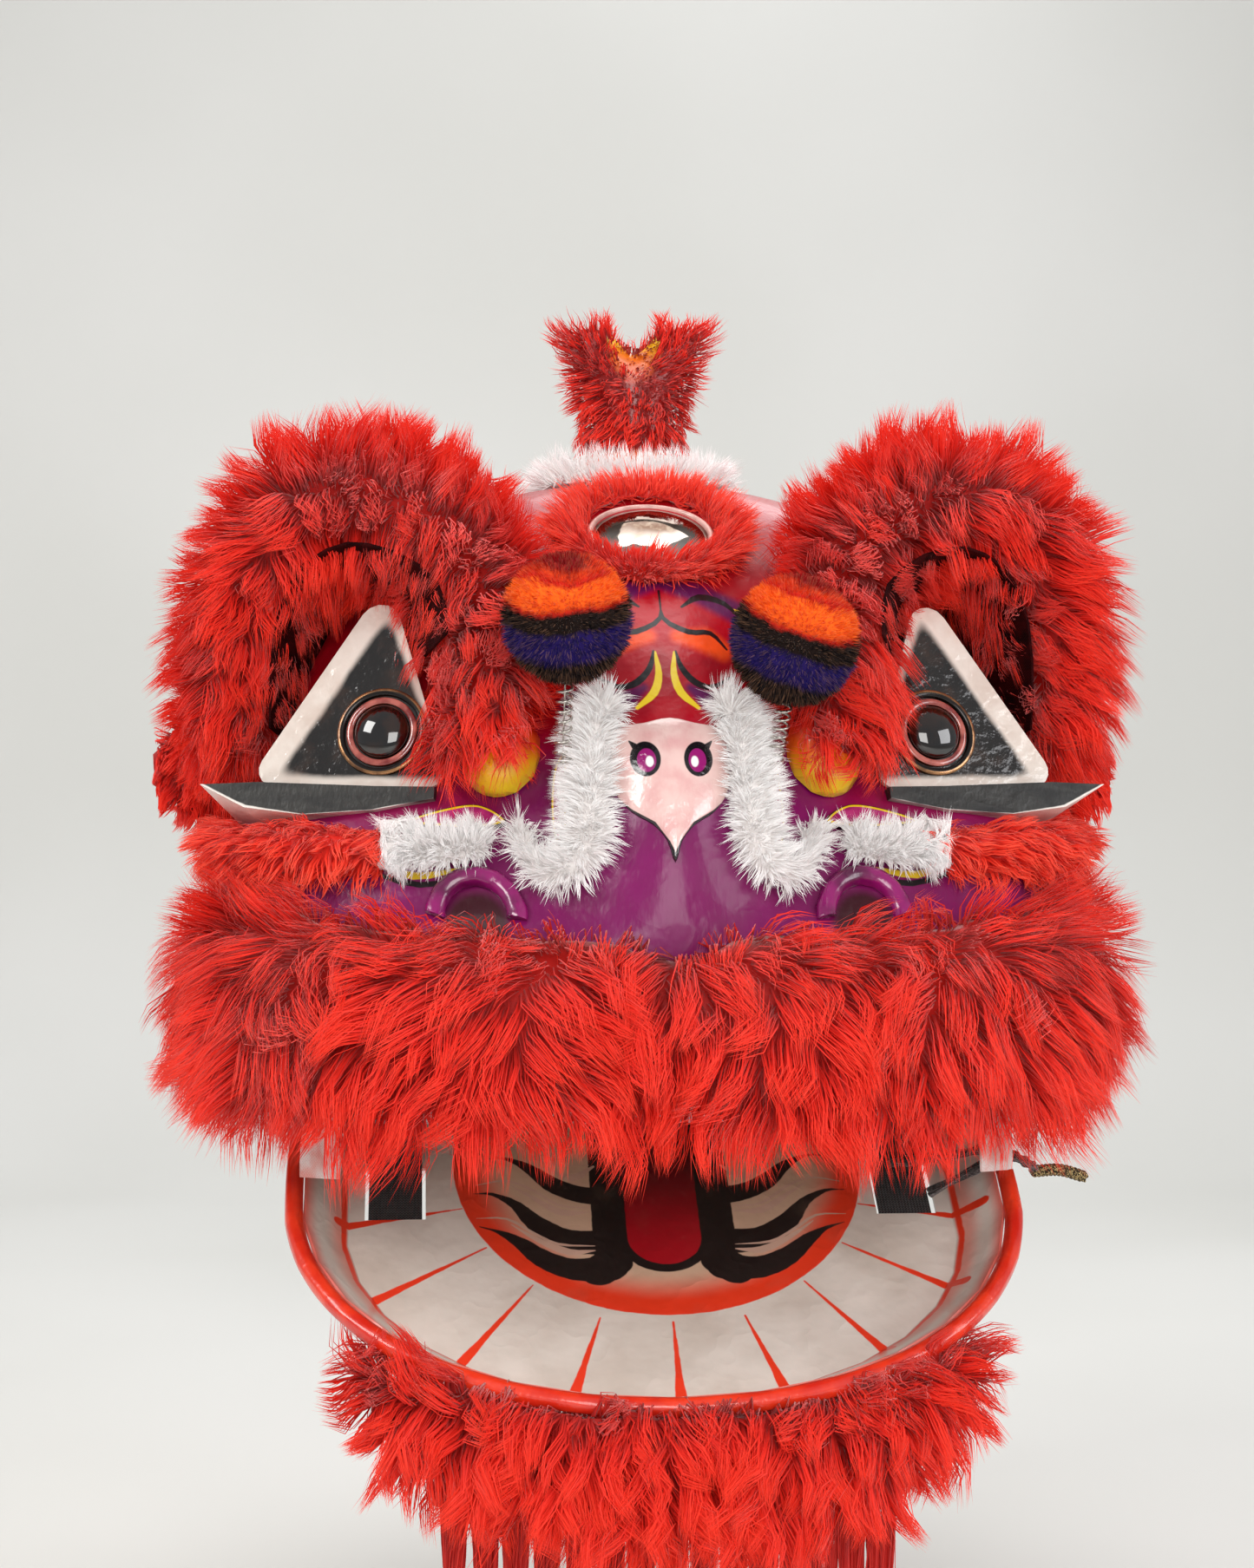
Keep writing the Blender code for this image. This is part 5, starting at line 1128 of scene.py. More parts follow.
    @classmethod
    def leaf(cls) -> Finish:
        """The leaves: magenta edged in yellow, with black outside that, by distance from their own edge."""
        mix = cls.start("leaf_enamel")
        edge = mix.attribute("edge")
        wash = mix.noise(60.0, 3.0)
        colour = mix.blend(wash.ease(0.35, 0.7), paint(186, 54, 122), paint(140, 28, 92))
        colour = mix.blend((edge + (wash - 0.5) * 0.001).ease(0.0036, 0.003), colour, paint(236, 206, 40))
        colour = mix.blend(edge.ease(0.0019, 0.0013), colour, (0.008, 0.006, 0.006))
        cls.crinkle(mix, 70.0, 0.001)
        mix.feed(Base_Color=colour, Roughness=wash * 0.2 + 0.08)
        return mix

    @classmethod
    def jaw(cls) -> Finish:
        """The jaw: white, with a red ring, black flames round a dark red tongue, and red rays to the rim.

        Forward is the place less the hinge, turned back by the jaw's tilt, and rise is square to it. Every
        shape is a stroke or disc in across and forward, alike on both sides of a line a little right of the
        middle.
        """
        mix = Finish("jaw_paint", Coat_Weight=0.35, Coat_Roughness=0.12)
        x, y, z = mix.axes()
        cos, sin = math.cos(JAW_TILT), math.sin(JAW_TILT)
        back, up = JAW_HINGE[1] - y, z - JAW_HINGE[2]
        forward = back * cos - up * sin
        rise = back * sin + up * cos
        u = abs(x - 0.008)
        place = mix.plane(u, forward)
        wash = mix.noise(11.0, 4.0)
        drift = mix.noise(90.0, 2.0)
        shake = (drift - 0.5) * 0.0016
        orange, ink, cream = paint(238, 58, 26), (0.01, 0.006, 0.006), paint(212, 176, 156)
        white = mix.blend(wash.ease(0.35, 0.7), paint(228, 221, 211), paint(208, 198, 186))
        colour = mix.blend(rise.ease(-0.01, 0.004) * 0.85, white, orange)
        foot = rise.ease(-0.0325, -0.03)
        blush = foot * (rise + (wash - 0.5) * 0.014).ease(-0.012, -0.026)
        colour = mix.blend(blush * 0.6, colour, paint(232, 96, 70))
        colour = mix.blend(foot * (rise + shake).ease(-0.0262, -0.0276), colour, orange)
        rays = []
        for inner, outer in (((0.172, 0.205), (0.276, 0.226)), ((0.152, 0.252), (0.246, 0.312)),
                             ((0.114, 0.296), (0.174, 0.38)), ((0.06, 0.334), (0.084, 0.412)),
                             ((0.0, 0.34), (0.0, 0.42))):
            middle = tuple(0.35 * a + 0.65 * b for a, b in zip(inner, outer))
            rays.append(((*inner, 0.0007), (*middle, 0.0026), (*outer, 0.0046)))
        colour = mix.blend((mix.stroke(place, *rays) + shake).ease(0.0007, -0.0005), colour, orange)
        floor = rise.ease(-0.026, -0.03)
        ring = mix.disc(mix.plane(x, forward), (0.008, 0.15), (0.179, 0.182))
        warm = (ring + (wash - 0.5) * 0.014).ease(-0.05, -0.014)
        glow = mix.blend(warm, paint(214, 182, 154), paint(238, 58, 24))
        colour = mix.blend((ring + shake).ease(0.0006, -0.0008) * floor, colour, glow)
        edge = abs(ring + 0.0035) - 0.0033
        colour = mix.blend((edge + shake).ease(0.0007, -0.0007) * floor, colour, orange)
        flames = mix.stroke(place, ((0.0, 0.06, 0.0405), (0.0, 0.2425, 0.0405)),
                            ((0.0456, 0.06, 0.014), (0.045, 0.27, 0.0165), (0.058, 0.281, 0.0165)))
        flames = flames.least(mix.sweep(
            place,
            ((0.151, 0.144, 0.0003), (0.134, 0.143, 0.0016), (0.114, 0.155, 0.0052), (0.095, 0.175, 0.0088),
             (0.0735, 0.188, 0.0098), (0.05, 0.193, 0.011)),
            ((0.162, 0.187, 0.0003), (0.145, 0.188, 0.002), (0.125, 0.202, 0.0052), (0.108, 0.225, 0.0095),
             (0.082, 0.245, 0.013), (0.048, 0.248, 0.015)),
            ((0.157, 0.227, 0.0003), (0.14, 0.234, 0.0024), (0.123, 0.247, 0.0065), (0.104, 0.266, 0.01),
             (0.078, 0.279, 0.0125), (0.048, 0.277, 0.015))))
        colour = mix.blend((flames + shake).ease(0.0006, -0.0006) * floor, colour, ink)
        pale = mix.sweep(
            place,
            ((0.1466, 0.1316, 0.0002), (0.1208, 0.1327, 0.0012), (0.095, 0.15, 0.0013),
             (0.0606, 0.153, 0.0003)),
            ((0.097, 0.156, 0.0004), (0.0757, 0.1685, 0.0042), (0.0563, 0.1547, 0.001)),
            ((0.1595, 0.1766, 0.0002), (0.1337, 0.1714, 0.0012), (0.11, 0.1835, 0.0014),
             (0.0886, 0.202, 0.0014), (0.0628, 0.206, 0.0003)),
            ((0.1294, 0.1766, 0.0003), (0.108, 0.195, 0.0024), (0.0864, 0.211, 0.0038),
             (0.0628, 0.211, 0.0005)),
            ((0.1595, 0.217, 0.0002), (0.1337, 0.218, 0.0012), (0.112, 0.235, 0.0014),
             (0.0907, 0.249, 0.0014), (0.06, 0.2516, 0.0003)),
            ((0.13, 0.225, 0.0003), (0.108, 0.2435, 0.0024), (0.082, 0.2585, 0.0038), (0.06, 0.257, 0.0005)))
        colour = mix.blend((pale + shake * 0.6).ease(0.0005, -0.0004) * floor, colour, cream)
        tongue = mix.stroke(place, ((0.0, 0.06, 0.0315), (0.0, 0.2425, 0.0315)))
        red = mix.blend(forward.ease(0.14, 0.26), paint(96, 2, 14), paint(176, 4, 26))
        colour = mix.blend((tongue + shake).ease(0.0006, -0.0006) * floor, colour, red)
        dirt = mix.noise(24.0, 5.0).ease(0.55, 0.75)
        colour = mix.blend(dirt * 0.12, colour, paint(140, 118, 98))
        folds = mix.noise(15.0, 3.0)
        mix.bump(abs(folds - 0.5) * -1.8 + drift * 0.12, 0.004)
        mix.feed(Base_Color=colour, Roughness=wash * 0.3 + 0.26)
        return mix


class Stuff:
    """Metal, felt, webbing, net and lining."""

    @staticmethod
    def mirror() -> Finish:
        """Silvered glass a little uneven, with dust on it, and its upper part coloured brown as a painted
        reflection of dark surroundings.
        """
        mix = Finish("silvering", Metallic=1.0)
        dust = mix.noise(120.0, 4.0)
        wave = mix.noise(30.0, 2.0)
        mix.bump(wave, 0.0012, 0.6)
        _, _, z = mix.axes()
        # painted reflection: the upper part of the glass is coloured dark brown in place of a dark reflection
        painted_reflection = (z + (wave - 0.5) * 0.02).ease(0.532, 0.552)
        glass = mix.blend(painted_reflection, paint(206, 200, 192), paint(92, 68, 54))
        colour = mix.blend(dust.ease(0.45, 0.75) * 0.6, glass, paint(150, 136, 120))
        mix.feed(Base_Color=colour, Roughness=dust.ease(0.5, 0.9) * 0.18 + 0.05)
        return mix

    @staticmethod
    def gold() -> Finish:
        """Bronze paint on the large eye ring, worn brown in places and black on its inner side."""
        mix = Finish("bronze_ring", Metallic=0.75, Coat_Weight=0.4)
        wear = mix.noise(90.0, 4.0)
        colour = mix.blend(wear.ease(0.4, 0.68), paint(176, 128, 84), paint(104, 70, 46))
        x, y, z = mix.axes()
        across, up = mix.eye_axes(mix.node("ShaderNodeCombineXYZ", {}, {0: abs(x), 1: y, 2: z}), 1.0)
        ring = mix.disc(mix.plane(across, up), (0.0, 0.0), (0.0355, 0.0355))
        colour = mix.blend(ring.ease(-0.0006, 0.0004), (0.012, 0.009, 0.008), colour)
        mix.bump(wear, 0.0006, 0.5)
        mix.feed(Base_Color=colour, Roughness=wear * 0.3 + 0.15)
        return mix

    @staticmethod
    def iris() -> Finish:
        """The clear pinkish red ring round a pupil."""
        mix = Finish("iris_ring", Coat_Weight=1.0, Coat_Roughness=0.03, Subsurface_Weight=0.15)
        glow = mix.noise(70.0, 3.0)
        mix.worn(glow, (0.35, 0.7), (paint(196, 104, 92), paint(120, 26, 26)), (0.2, 0.05))
        return mix

    @staticmethod
    def pupil() -> Finish:
        """Black glass with a brown depth at its edge."""
        mix = Finish("pupil_glass", Coat_Weight=1.0, Coat_Roughness=0.02)
        depth = mix.noise(50.0, 2.0)
        mix.worn(depth, (0.4, 0.7), ((0.004, 0.003, 0.003), (0.022, 0.01, 0.006)), (0.1, 0.03))
        return mix

    @staticmethod
    def wire() -> Finish:
        """Bare spring wire, brighter and duller along its length."""
        mix = Finish("spring_wire", Metallic=1.0)
        grain = mix.noise(260.0, 2.0)
        mix.bump(grain, 0.0002)
        colour = mix.blend(grain, paint(150, 146, 140), paint(222, 218, 210))
        mix.feed(Base_Color=colour, Roughness=grain * 0.3 + 0.15)
        return mix

    @staticmethod
    def webbing() -> Finish:
        """Black elastic: ribs along the band and a fine weave across it."""
        mix = Finish("black_webbing", Sheen_Weight=0.3)
        x, _, z = mix.axes()
        ribs = x.sine(2400.0)
        weave = z.sine(3600.0) * ribs
        mix.bump(ribs * 0.6 + weave * 0.4, 0.0005)
        fluff = mix.noise(160.0, 3.0)
        worn = fluff.ease(0.3, 0.8) * 0.7 + ribs * 0.1
        colour = mix.blend(worn, (0.007, 0.007, 0.008), (0.042, 0.04, 0.042))
        mix.feed(Base_Color=colour, Roughness=0.7 + fluff * 0.25)
        return mix

    @staticmethod
    def net() -> Finish:
        """Black net pulled into a bundle: fine crossing threads over folds."""
        mix = Finish("black_net", Sheen_Weight=0.5)
        holes = mix.cells(520.0)
        folds = mix.noise(90.0, 3.0, (0.3, 1.0, 1.0))
        mix.bump(holes * 0.5 + folds, 0.0016)
        colour = mix.blend(holes.ease(0.3, 0.6), (0.05, 0.047, 0.045), (0.006, 0.006, 0.006))
        mix.feed(Base_Color=colour, Roughness=0.6 + folds * 0.3)
        return mix

    @staticmethod
    def glitter() -> Finish:
        """Gold glitter braid: bright specks between dark ones."""
        mix = Finish("glitter_braid", Metallic=0.7)
        specks = mix.cells(700.0)
        colour = mix.blend(specks.ease(0.25, 0.55), paint(226, 200, 140), paint(70, 60, 44))
        mix.bump(specks, 0.001)
        mix.feed(Base_Color=colour, Roughness=specks.ease(0.2, 0.6) * 0.5 + 0.2)
        return mix

    @staticmethod
    def lining() -> Finish:
        """Dark red cloth behind the eyes, woven, with a nap."""
        mix = Finish("hood_cloth", Specular_IOR_Level=0.1)
        x, y, z = mix.axes()
        weave = x.sine(2600.0) * (z + y * 0.4).sine(2600.0)
        slub = mix.noise(60.0, 4.0)
        mix.bump(weave * 0.3 + slub, 0.0008)
        colour = mix.blend(slub.ease(0.3, 0.7), paint(58, 6, 8), paint(22, 3, 5))
        mix.feed(Base_Color=colour, Roughness=0.75 + weave * 0.1)
        return mix

    @staticmethod
    def flap() -> Finish:
        """The side flaps: white cloth tinted pink and blue, with a nap."""
        mix = Finish("flap_cloth", Sheen_Weight=0.4)
        _, y, z = mix.axes()
        tint = mix.noise(34.0, 3.0)
        weave = y.sine(2400.0) * z.sine(2400.0)
        colour = mix.blend(tint.ease(0.4, 0.6), paint(228, 214, 210), paint(222, 150, 140))
        mix.bump(weave * 0.25 + tint, 0.0008)
        mix.feed(Base_Color=colour, Roughness=0.8 + weave * 0.1)
        return mix

    @staticmethod
    def horn() -> Finish:
        """The horn: yellow over orange in a patch on its crest, orange at its foot, dull red elsewhere."""
        mix = Enamel.start("horn_enamel", 0.35, 0.3)
        x, _, z = mix.axes()
        streak = mix.noise(90.0, 3.0, (1.0, 1.0, 0.2))
        place = (z + (streak - 0.5) * 0.02 - 0.7) * 16.0
        patch = mix.ramp(place, (0.0, paint(238, 60, 22)), (0.45, paint(250, 130, 24)),
                         (0.7, paint(252, 206, 34)), (1.0, paint(246, 226, 50)))
        crest = mix.disc(mix.plane(x, z), (0.0, 0.745), (0.024, 0.04)) + (streak - 0.5) * 0.004
        dull = mix.blend(z.ease(0.636, 0.644), paint(246, 110, 34), paint(170, 16, 10))
        mix.bump(streak, 0.0012)
        mix.feed(Base_Color=mix.blend(crest.ease(0.004, -0.002), dull, patch), Roughness=streak * 0.3 + 0.2)
        return mix

    @staticmethod
    def felt(side: str, centre: Triple, tilt: float) -> Finish:
        """A pompom's pile in bands: crimson cap, orange, red, orange, black, navy and black.

        The band is the place less the centre, along an axis that leans forward and to the side, over the
        radius, stirred by two noises.
        """
        mix = Finish(f"pompom_pile_{side}", Sheen_Weight=0.08, Sheen_Roughness=0.4, Specular_IOR_Level=0.1)
        lean = Vector((math.sin(tilt), -0.34, 0.94)).normalized()
        start = mix.vector("SUBTRACT", mix.object, centre)
        level = mix.number("DOT_PRODUCT", start, tuple(lean)) * (1 / POMPOM_RADIUS)
        stir = (mix.noise(26.0, 2.0) - 0.5) * 0.3 + (mix.noise(240.0, 2.0) - 0.5) * 0.08
        place = (level + stir) * 0.5 + 0.5
        navy, black = paint(24, 14, 92), paint(9, 5, 9)
        colour = mix.ramp(place, (0.0, black), (0.24, black), (0.31, navy), (0.47, navy), (0.52, black),
                          (0.635, black), (0.665, paint(190, 30, 16)), (0.7, paint(240, 98, 24)),
                          (0.83, paint(246, 112, 28)), (0.86, paint(206, 26, 20)), (0.9, paint(228, 70, 24)),
                          (0.935, paint(150, 8, 18)))
        tone = mix.attribute("tone")
        colour = mix.blend((tone - 0.35) * 0.5, colour, mix.blend(0.5, colour, paint(255, 190, 150)))
        mix.feed(Base_Color=colour, Roughness=0.75 + tone * 0.2)
        return mix


@dataclass
class Shell:
    """The hollow painted head, and the plates, leaves, bumps and arches on its face."""

    half_width: float = 0.355
    front: float = 0.32
    back: float = 0.36
    crown: float = 0.607
    snout: float = 0.09
    snout_width: float = 0.088
    wall: float = 0.003
    columns: int = 200
    steps: int = 9
    hoops: tuple[tuple[float, ...], ...] = (
        (0.102, 0.0, 0.92, 0.917, 0.0, 0.94, 2.7, 0.0),
        (0.165, 0.115, 0.985, 0.972, 0.0, 0.985, 2.7, 0.0),
        (0.313, 0.264, 1.0, 1.0, 0.0, 1.0, 2.7, 0.0),
        (0.39, 0.37, 0.87, 1.0, 0.0, 1.0, 2.8, 0.45),
        (0.478, 0.478, 0.74, 0.986, 0.0, 1.0, 3.1, 0.78),
        (0.56, 0.577, 0.625, 0.958, 0.0, 0.97, 3.1, 1.0),
        (0.642, 0.675, 0.547, 0.917, 0.0, 0.905, 3.0, 0.94),
        (0.725, 0.758, 0.484, 0.861, 0.05, 0.85, 2.7, 0.72),
        (0.807, 0.84, 0.406, 0.778, 0.1, 0.795, 2.3, 0.44),
        (0.881, 0.906, 0.297, 0.667, 0.16, 0.686, 2.1, 0.17),
        (0.947, 0.956, 0.14, 0.5, 0.19, 0.504, 2.0, 0.0),
        (0.988, 0.988, -0.03, 0.306, 0.17, 0.266, 2.0, 0.0),
        (1.0, 1.0, -0.191, 0.17, 0.17, 0.0, 2.0, 0.0))

    def surface(self) -> Array:
        """The outer surface as rows by columns by 3.

        A hoop is a superellipse: at a turn, the sine and cosine over the root, of the hoop's fullness, of
        the sum of their powers to that fullness. Across it is the half width times the first. Along it is
        the middle less the front or back reach times the second, with a bell in the width pushed out for the
        snout. Height runs from the hoop's front height to its back height with the depth. The hoops' numbers
        follow a cubic.
        """
        rows = smooth_line(np.array(self.hoops), self.steps)
        low, high, front, back, middle, width, full, snout = (rows[:, k:k + 1] for k in range(8))
        turn = circle(self.columns)[None]
        sine, cosine = np.sin(turn), np.cos(turn)
        reach = (np.abs(sine) ** full + np.abs(cosine) ** full) ** (-1 / full)
        across, along = sine * reach, cosine * reach
        middle = middle * self.back
        front = front * self.front + middle
        back = back * self.back - middle
        x = self.half_width * width * across
        y = middle - np.where(along > 0, front, back) * along
        bump = self.snout * snout * np.exp(-((x / self.snout_width) ** 2))
        depth = (y - middle + front) / np.maximum(front + back, 1e-6)
        z = self.crown * (low + (high - low) * depth)
        return np.stack((x, y - np.where(along > 0, bump * along, 0.0), z), axis=-1)

    def build(self) -> None:
        """Makes the shell with its inner side a wall's thickness in, then what lies on its face."""
        outer = self.surface()
        outer[-1] = outer[-1].mean(axis=0)
        around = np.roll(outer, -1, axis=1) - np.roll(outer, 1, axis=1)
        normal = unit(np.cross(around, np.gradient(outer, axis=0)))
        normal[-1] = (0.0, 0.0, 1.0)
        inner = (outer - normal * self.wall)[::3]
        inner[-1] = inner[-1].mean(axis=0)
        points = np.concatenate((outer[::-1], inner))
        marks = np.repeat((0.0, 1.0), (len(outer) * self.columns, len(inner) * self.columns))
        faces = grid_faces(len(points), self.columns)
        mesh = mesh_of("shell", points.reshape(-1, 3), faces, marks={"inside": marks}, smooth=60.0)
        settle(mesh, merge=True)
        add_piece("shell", mesh, Enamel.face(), "painted_shell", "head_shell")
        flat = points.reshape(-1, 3)[: len(outer) * self.columns]
        skin = BVHTree.FromPolygons(flat.tolist(), grid_faces(len(outer), self.columns).tolist())
        half = np.array(((0.0, 0.383), (0.02, 0.379), (0.043, 0.3735), (0.0475, 0.35), (0.0455, 0.325),
                         (0.033, 0.3075), (0.0165, 0.2975), (0.006, 0.285), (0.0, 0.268)))
        whole = np.concatenate((half, half[-2:0:-1] * (-1, 1)))
        self.plate("nose", whole, 0.0042, skin, Enamel.nose(), "pale_gloss", "nose_plate", 3)
        leaf = Enamel.leaf()
        cheek = Enamel.bump_side()
        arch = Enamel.plain("arch_enamel", paint(150, 20, 108), paint(86, 6, 60))
        leaves = {"inner": ((0.0785, 0.3535), (0.089, 0.344), (0.0935, 0.311), (0.091, 0.283),
                            (0.0825, 0.279), (0.0785, 0.31)),
                  "outer": ((0.129, 0.2985), (0.15, 0.3115), (0.18, 0.3085), (0.214, 0.297),
                            (0.19, 0.2925), (0.15, 0.2915))}
        for side, sign in SIDES:
            for part, outline in leaves.items():
                node = f"leaf_{part}_{side}"
                outline = np.array(outline) * (sign, 1)
                self.plate(f"{node}_plate", outline, 0.0045, skin, leaf, "magenta_gloss", node, 8)
            add_rounded(f"cheek_{side}", f"cheek_bump_{side}", 6, cheek, "yellow_gloss")
            add_rounded(f"nostril_arch_{side}", f"nostril_{side}", 5, arch, "magenta_gloss", 100.0)

    def plate(self, name: str, outline: Array, thick: float, skin: BVHTree, finish: Finish, slot: str,
              node: str, corner: int) -> None:
        """A plate that lies on the face.

        A place on it is the outline's middle plus the share of the way out to the outline, dropped straight
        back onto the face and lifted along the face's normal by the thickness times the root of one less the
        share to the power 14. Its back lies just inside the face. Each point carries its distance from the
        outline.

        Args:
            name: The piece's name.
            outline: The outline's points across and up, in turn.
            thick: How far the plate stands off the face.
            skin: The face.
            finish: Its finish.
            slot: Not used.
            node: The CAD node that it stands for.
            corner: How many steps the curve takes from point to point.
        """
        closed = np.concatenate((outline, outline[:1]))
        line = smooth_line(np.concatenate((closed, closed[1:3])), corner)[corner:-corner]
        line = line[: len(outline) * corner]
        runs = np.roll(line, -1, axis=0) - line
        middle = line.mean(axis=0)
        shares = np.concatenate((np.linspace(0, 0.9, 13), np.linspace(0.93, 1.0, 7)))
        lifts = thick * np.sqrt(np.clip(1 - shares**14, 0, 1))
        shares, lifts = np.append(shares, (1.0, 0.0)), np.append(lifts, (-0.0015, -0.0015))
        spots = middle + (line[None] - middle) * shares[:, None, None]
        points = np.empty((*spots.shape[:2], 3))
        for row in range(len(shares)):
            for column in range(len(line)):
                x, z = spots[row, column]
                place, normal, _, _ = skin.ray_cast((x, -1.0, z), (0.0, 1.0, 0.0))
                normal = normal if normal.y < 0 else -normal
                points[row, column] = place + normal * lifts[row]
        gap = spots[:, :, None] - line[None, None]
        share = np.clip((gap * runs).sum(axis=-1) / np.maximum((runs**2).sum(axis=-1), 1e-12), 0, 1)
        edge = np.linalg.norm(gap - runs * share[..., None], axis=-1).min(axis=-1).ravel()
        faces = grid_faces(len(shares), len(line))
        mesh = mesh_of(name, points.reshape(-1, 3), faces, marks={"edge": edge}, smooth=50.0)
        settle(mesh, merge=True)
        add_piece(name, mesh, finish, slot, node)


@dataclass
class Eyes:
    """The eye boards, ledges, rings, pupils and hoods."""

    gold_radius: float = 0.035
    gold_tube: float = 0.003
    iris_radius: float = 0.0272
    iris_tube: float = 0.0028
    pupil_radius: float = 0.0235
    pupil_rise: float = 0.011
    lift: float = 0.0003

    def build(self) -> None:
        """Makes both eyes. A ring is an oval section carried round; a pupil is a cosine dome."""
        gold, iris, pupil, lining = Stuff.gold(), Stuff.iris(), Stuff.pupil(), Stuff.lining()
        angle = circle(20)
        for side, sign in SIDES:
            frame = eye_frame(sign)
            dress(f"eye_panel_{side}", Enamel.eye_board(sign))
            dress(f"eye_rim_{side}", Enamel.ledge(sign))
            for part, radius, tube_radius, finish, slot in (
                    ("gold", self.gold_radius, self.gold_tube, gold, "gold"),
                    ("iris", self.iris_radius, self.iris_tube, iris, "iris_gloss")):
                profile = np.stack((radius + tube_radius * np.cos(angle),
                                    self.lift + tube_radius * (0.5 + 0.5 * np.sin(angle))), axis=1)
                mesh = turned(f"{part}_ring_{side}", profile, 96, frame, closed=True)
                add_piece(f"{part}_ring_{side}", mesh, finish, slot, f"eye_{part}_ring_{side}")
            rise = np.linspace(0, math.pi / 2, 18)
            dome = np.stack((self.pupil_radius * np.sin(rise),
                             self.lift + self.pupil_rise * np.cos(rise)), axis=1)
            dome = np.concatenate((dome, ((0.0, self.lift),)))
            add_piece(f"pupil_{side}", turned(f"pupil_{side}", dome, 72, frame), pupil, "black_gloss",
                      f"eye_pupil_{side}")
            add_rounded(f"hood_{side}", f"brow_hood_{side}", 4, lining, "dark_lining")


@dataclass
class Forehead:
    """The mirror and its rim, and the horn."""

    radius: float = 0.0497
    rise: float = 0.014
    rim_out: float = 0.003
    rim_wide: float = 0.0026
    rim_high: float = 0.0034
    horn_width: float = 0.056
    horn_height: float = 0.157

    def build(self) -> None:
        """Makes the mirror as a shallow cap, its rim as a round ring, and the horn as a loft of ovals."""
        frame = facing(MIRROR_PLACE, 0.0, MIRROR_PITCH)
        share = np.linspace(0, 1, 26)
        cap = np.stack((self.radius * share, self.rise * (1 - share**2) + 0.0005), axis=1)
        cap = np.concatenate((cap, ((self.radius, -0.003), (0.0, -0.003))))
        glass = turned("mirror_glass", cap, 96, frame)
        add_piece("mirror_glass", glass, Stuff.mirror(), "mirror_chrome", "mirror")
        angle = circle(18)
        ring = np.stack((self.radius + self.rim_out + self.rim_wide * np.cos(angle),
                         0.001 + self.rim_high * np.sin(angle)), axis=1)
        pale = Enamel.plain("rim_enamel", paint(236, 190, 180), paint(200, 150, 140), 0.25, 60.0, 0.0006)
        add_piece("mirror_ring", turned("mirror_ring", ring, 96, frame, closed=True), pale, "pale_gloss",
                  "mirror_rim")
        self.horn()

    def horn(self) -> None:
        """The horn: ovals up its height, with the top parted by a dip, a bell about the middle."""
        rows = smooth_line(np.array(((-0.1, 1.0, 0.8, 0.0), (0.12, 0.92, 0.74, 0.0), (0.3, 0.66, 0.58, 0.0),
                                     (0.5, 0.62, 0.52, 0.0), (0.72, 0.82, 0.5, 0.04), (0.9, 1.05, 0.48, 0.1),
                                     (1.0, 0.92, 0.36, 0.16))), 8)
        crown = np.array([(1.0, 0.92 * s, 0.36 * s, 0.16) for s in np.cos(np.linspace(0.2, math.pi / 2, 8))])
        rows = np.concatenate((rows, crown))
        around = 72
        angle = circle(around)[None]
        height, width, depth, lobes = (rows[:, k:k + 1] for k in range(4))
        x = self.horn_width * width * np.cos(angle)
        y = HORN_PLACE[1] + self.horn_width * depth * np.sin(angle)
        dip = self.horn_height * lobes * np.exp(-((x / (0.35 * self.horn_width)) ** 2))
        z = HORN_PLACE[2] + self.horn_height * height - dip
        points = np.stack((x, y, z), axis=-1)
        foot = np.tile(points[:1].mean(axis=1, keepdims=True), (1, around, 1))
        points = np.concatenate((foot, points))
        mesh = welded("horn_core", points.reshape(-1, 3), grid_faces(len(points), around))
        add_piece("horn_core", mesh, Stuff.horn(), "yellow_gloss", "horn")


@dataclass
class Pompoms:
    """The two felt balls and the springs that hold them."""

    coil: float = 0.0062
    wire: float = 0.0012
    turns: int = 9
    reach: float = 0.62
    core: float = 0.0008

    def build(self) -> None:
        """Makes each ball as short pile on a ball, and each spring as a helix of wire."""
        steel = Stuff.wire()
        for side, ball, foot, tilt in (("left", (-0.084, -0.295, 0.461), (-0.086, -0.262, 0.345), -0.1),
                                       ("right", (0.097, -0.295, 0.444), (0.085, -0.262, 0.345), 0.3)):
            FurCoat(f"pompom_pile_{side}", f"pompom_{side}", None, "felt", 12500, 0.0056, 0.0042, Lie.PILE,
                    width=0.0009, bend=0.3, clump=0.25, lock=8, wave=0.02, swirl=0.2, segments=2, spread=0.4,
                    seed=61, finish=Stuff.felt(side, ball, tilt)).build()
            self.spring(side, np.array(foot), np.array(ball), steel)

    def spring(self, side: str, foot: Array, ball: Array, finish: Finish) -> None:
        """A helix to the ball: the foot, the axis times the share, and the turns' cosine and sine.

        The left spring also has a straight wire up its middle.
        """
        axis = ball - foot
        share = np.linspace(0, 1, self.turns * 14)[:, None]
        across = unit(np.cross(axis, (1.0, 0.0, 0.0)))
        other = unit(np.cross(axis, across))
        angle = share * self.turns * 2 * math.pi
        path = foot + axis * share * self.reach + self.coil * (across * np.cos(angle) + other * np.sin(angle))
        parts = [tube(path, self.wire, 6)]
        if side == "left":
            parts.append(tube(foot + axis * np.linspace(0.0, 0.66, 12)[:, None], self.core, 6))
        points, faces = joined(parts)
        add_piece(f"coil_{side}", welded(f"coil_{side}", points, faces, 180.0), finish, "spring_steel",
                  f"spring_{side}")


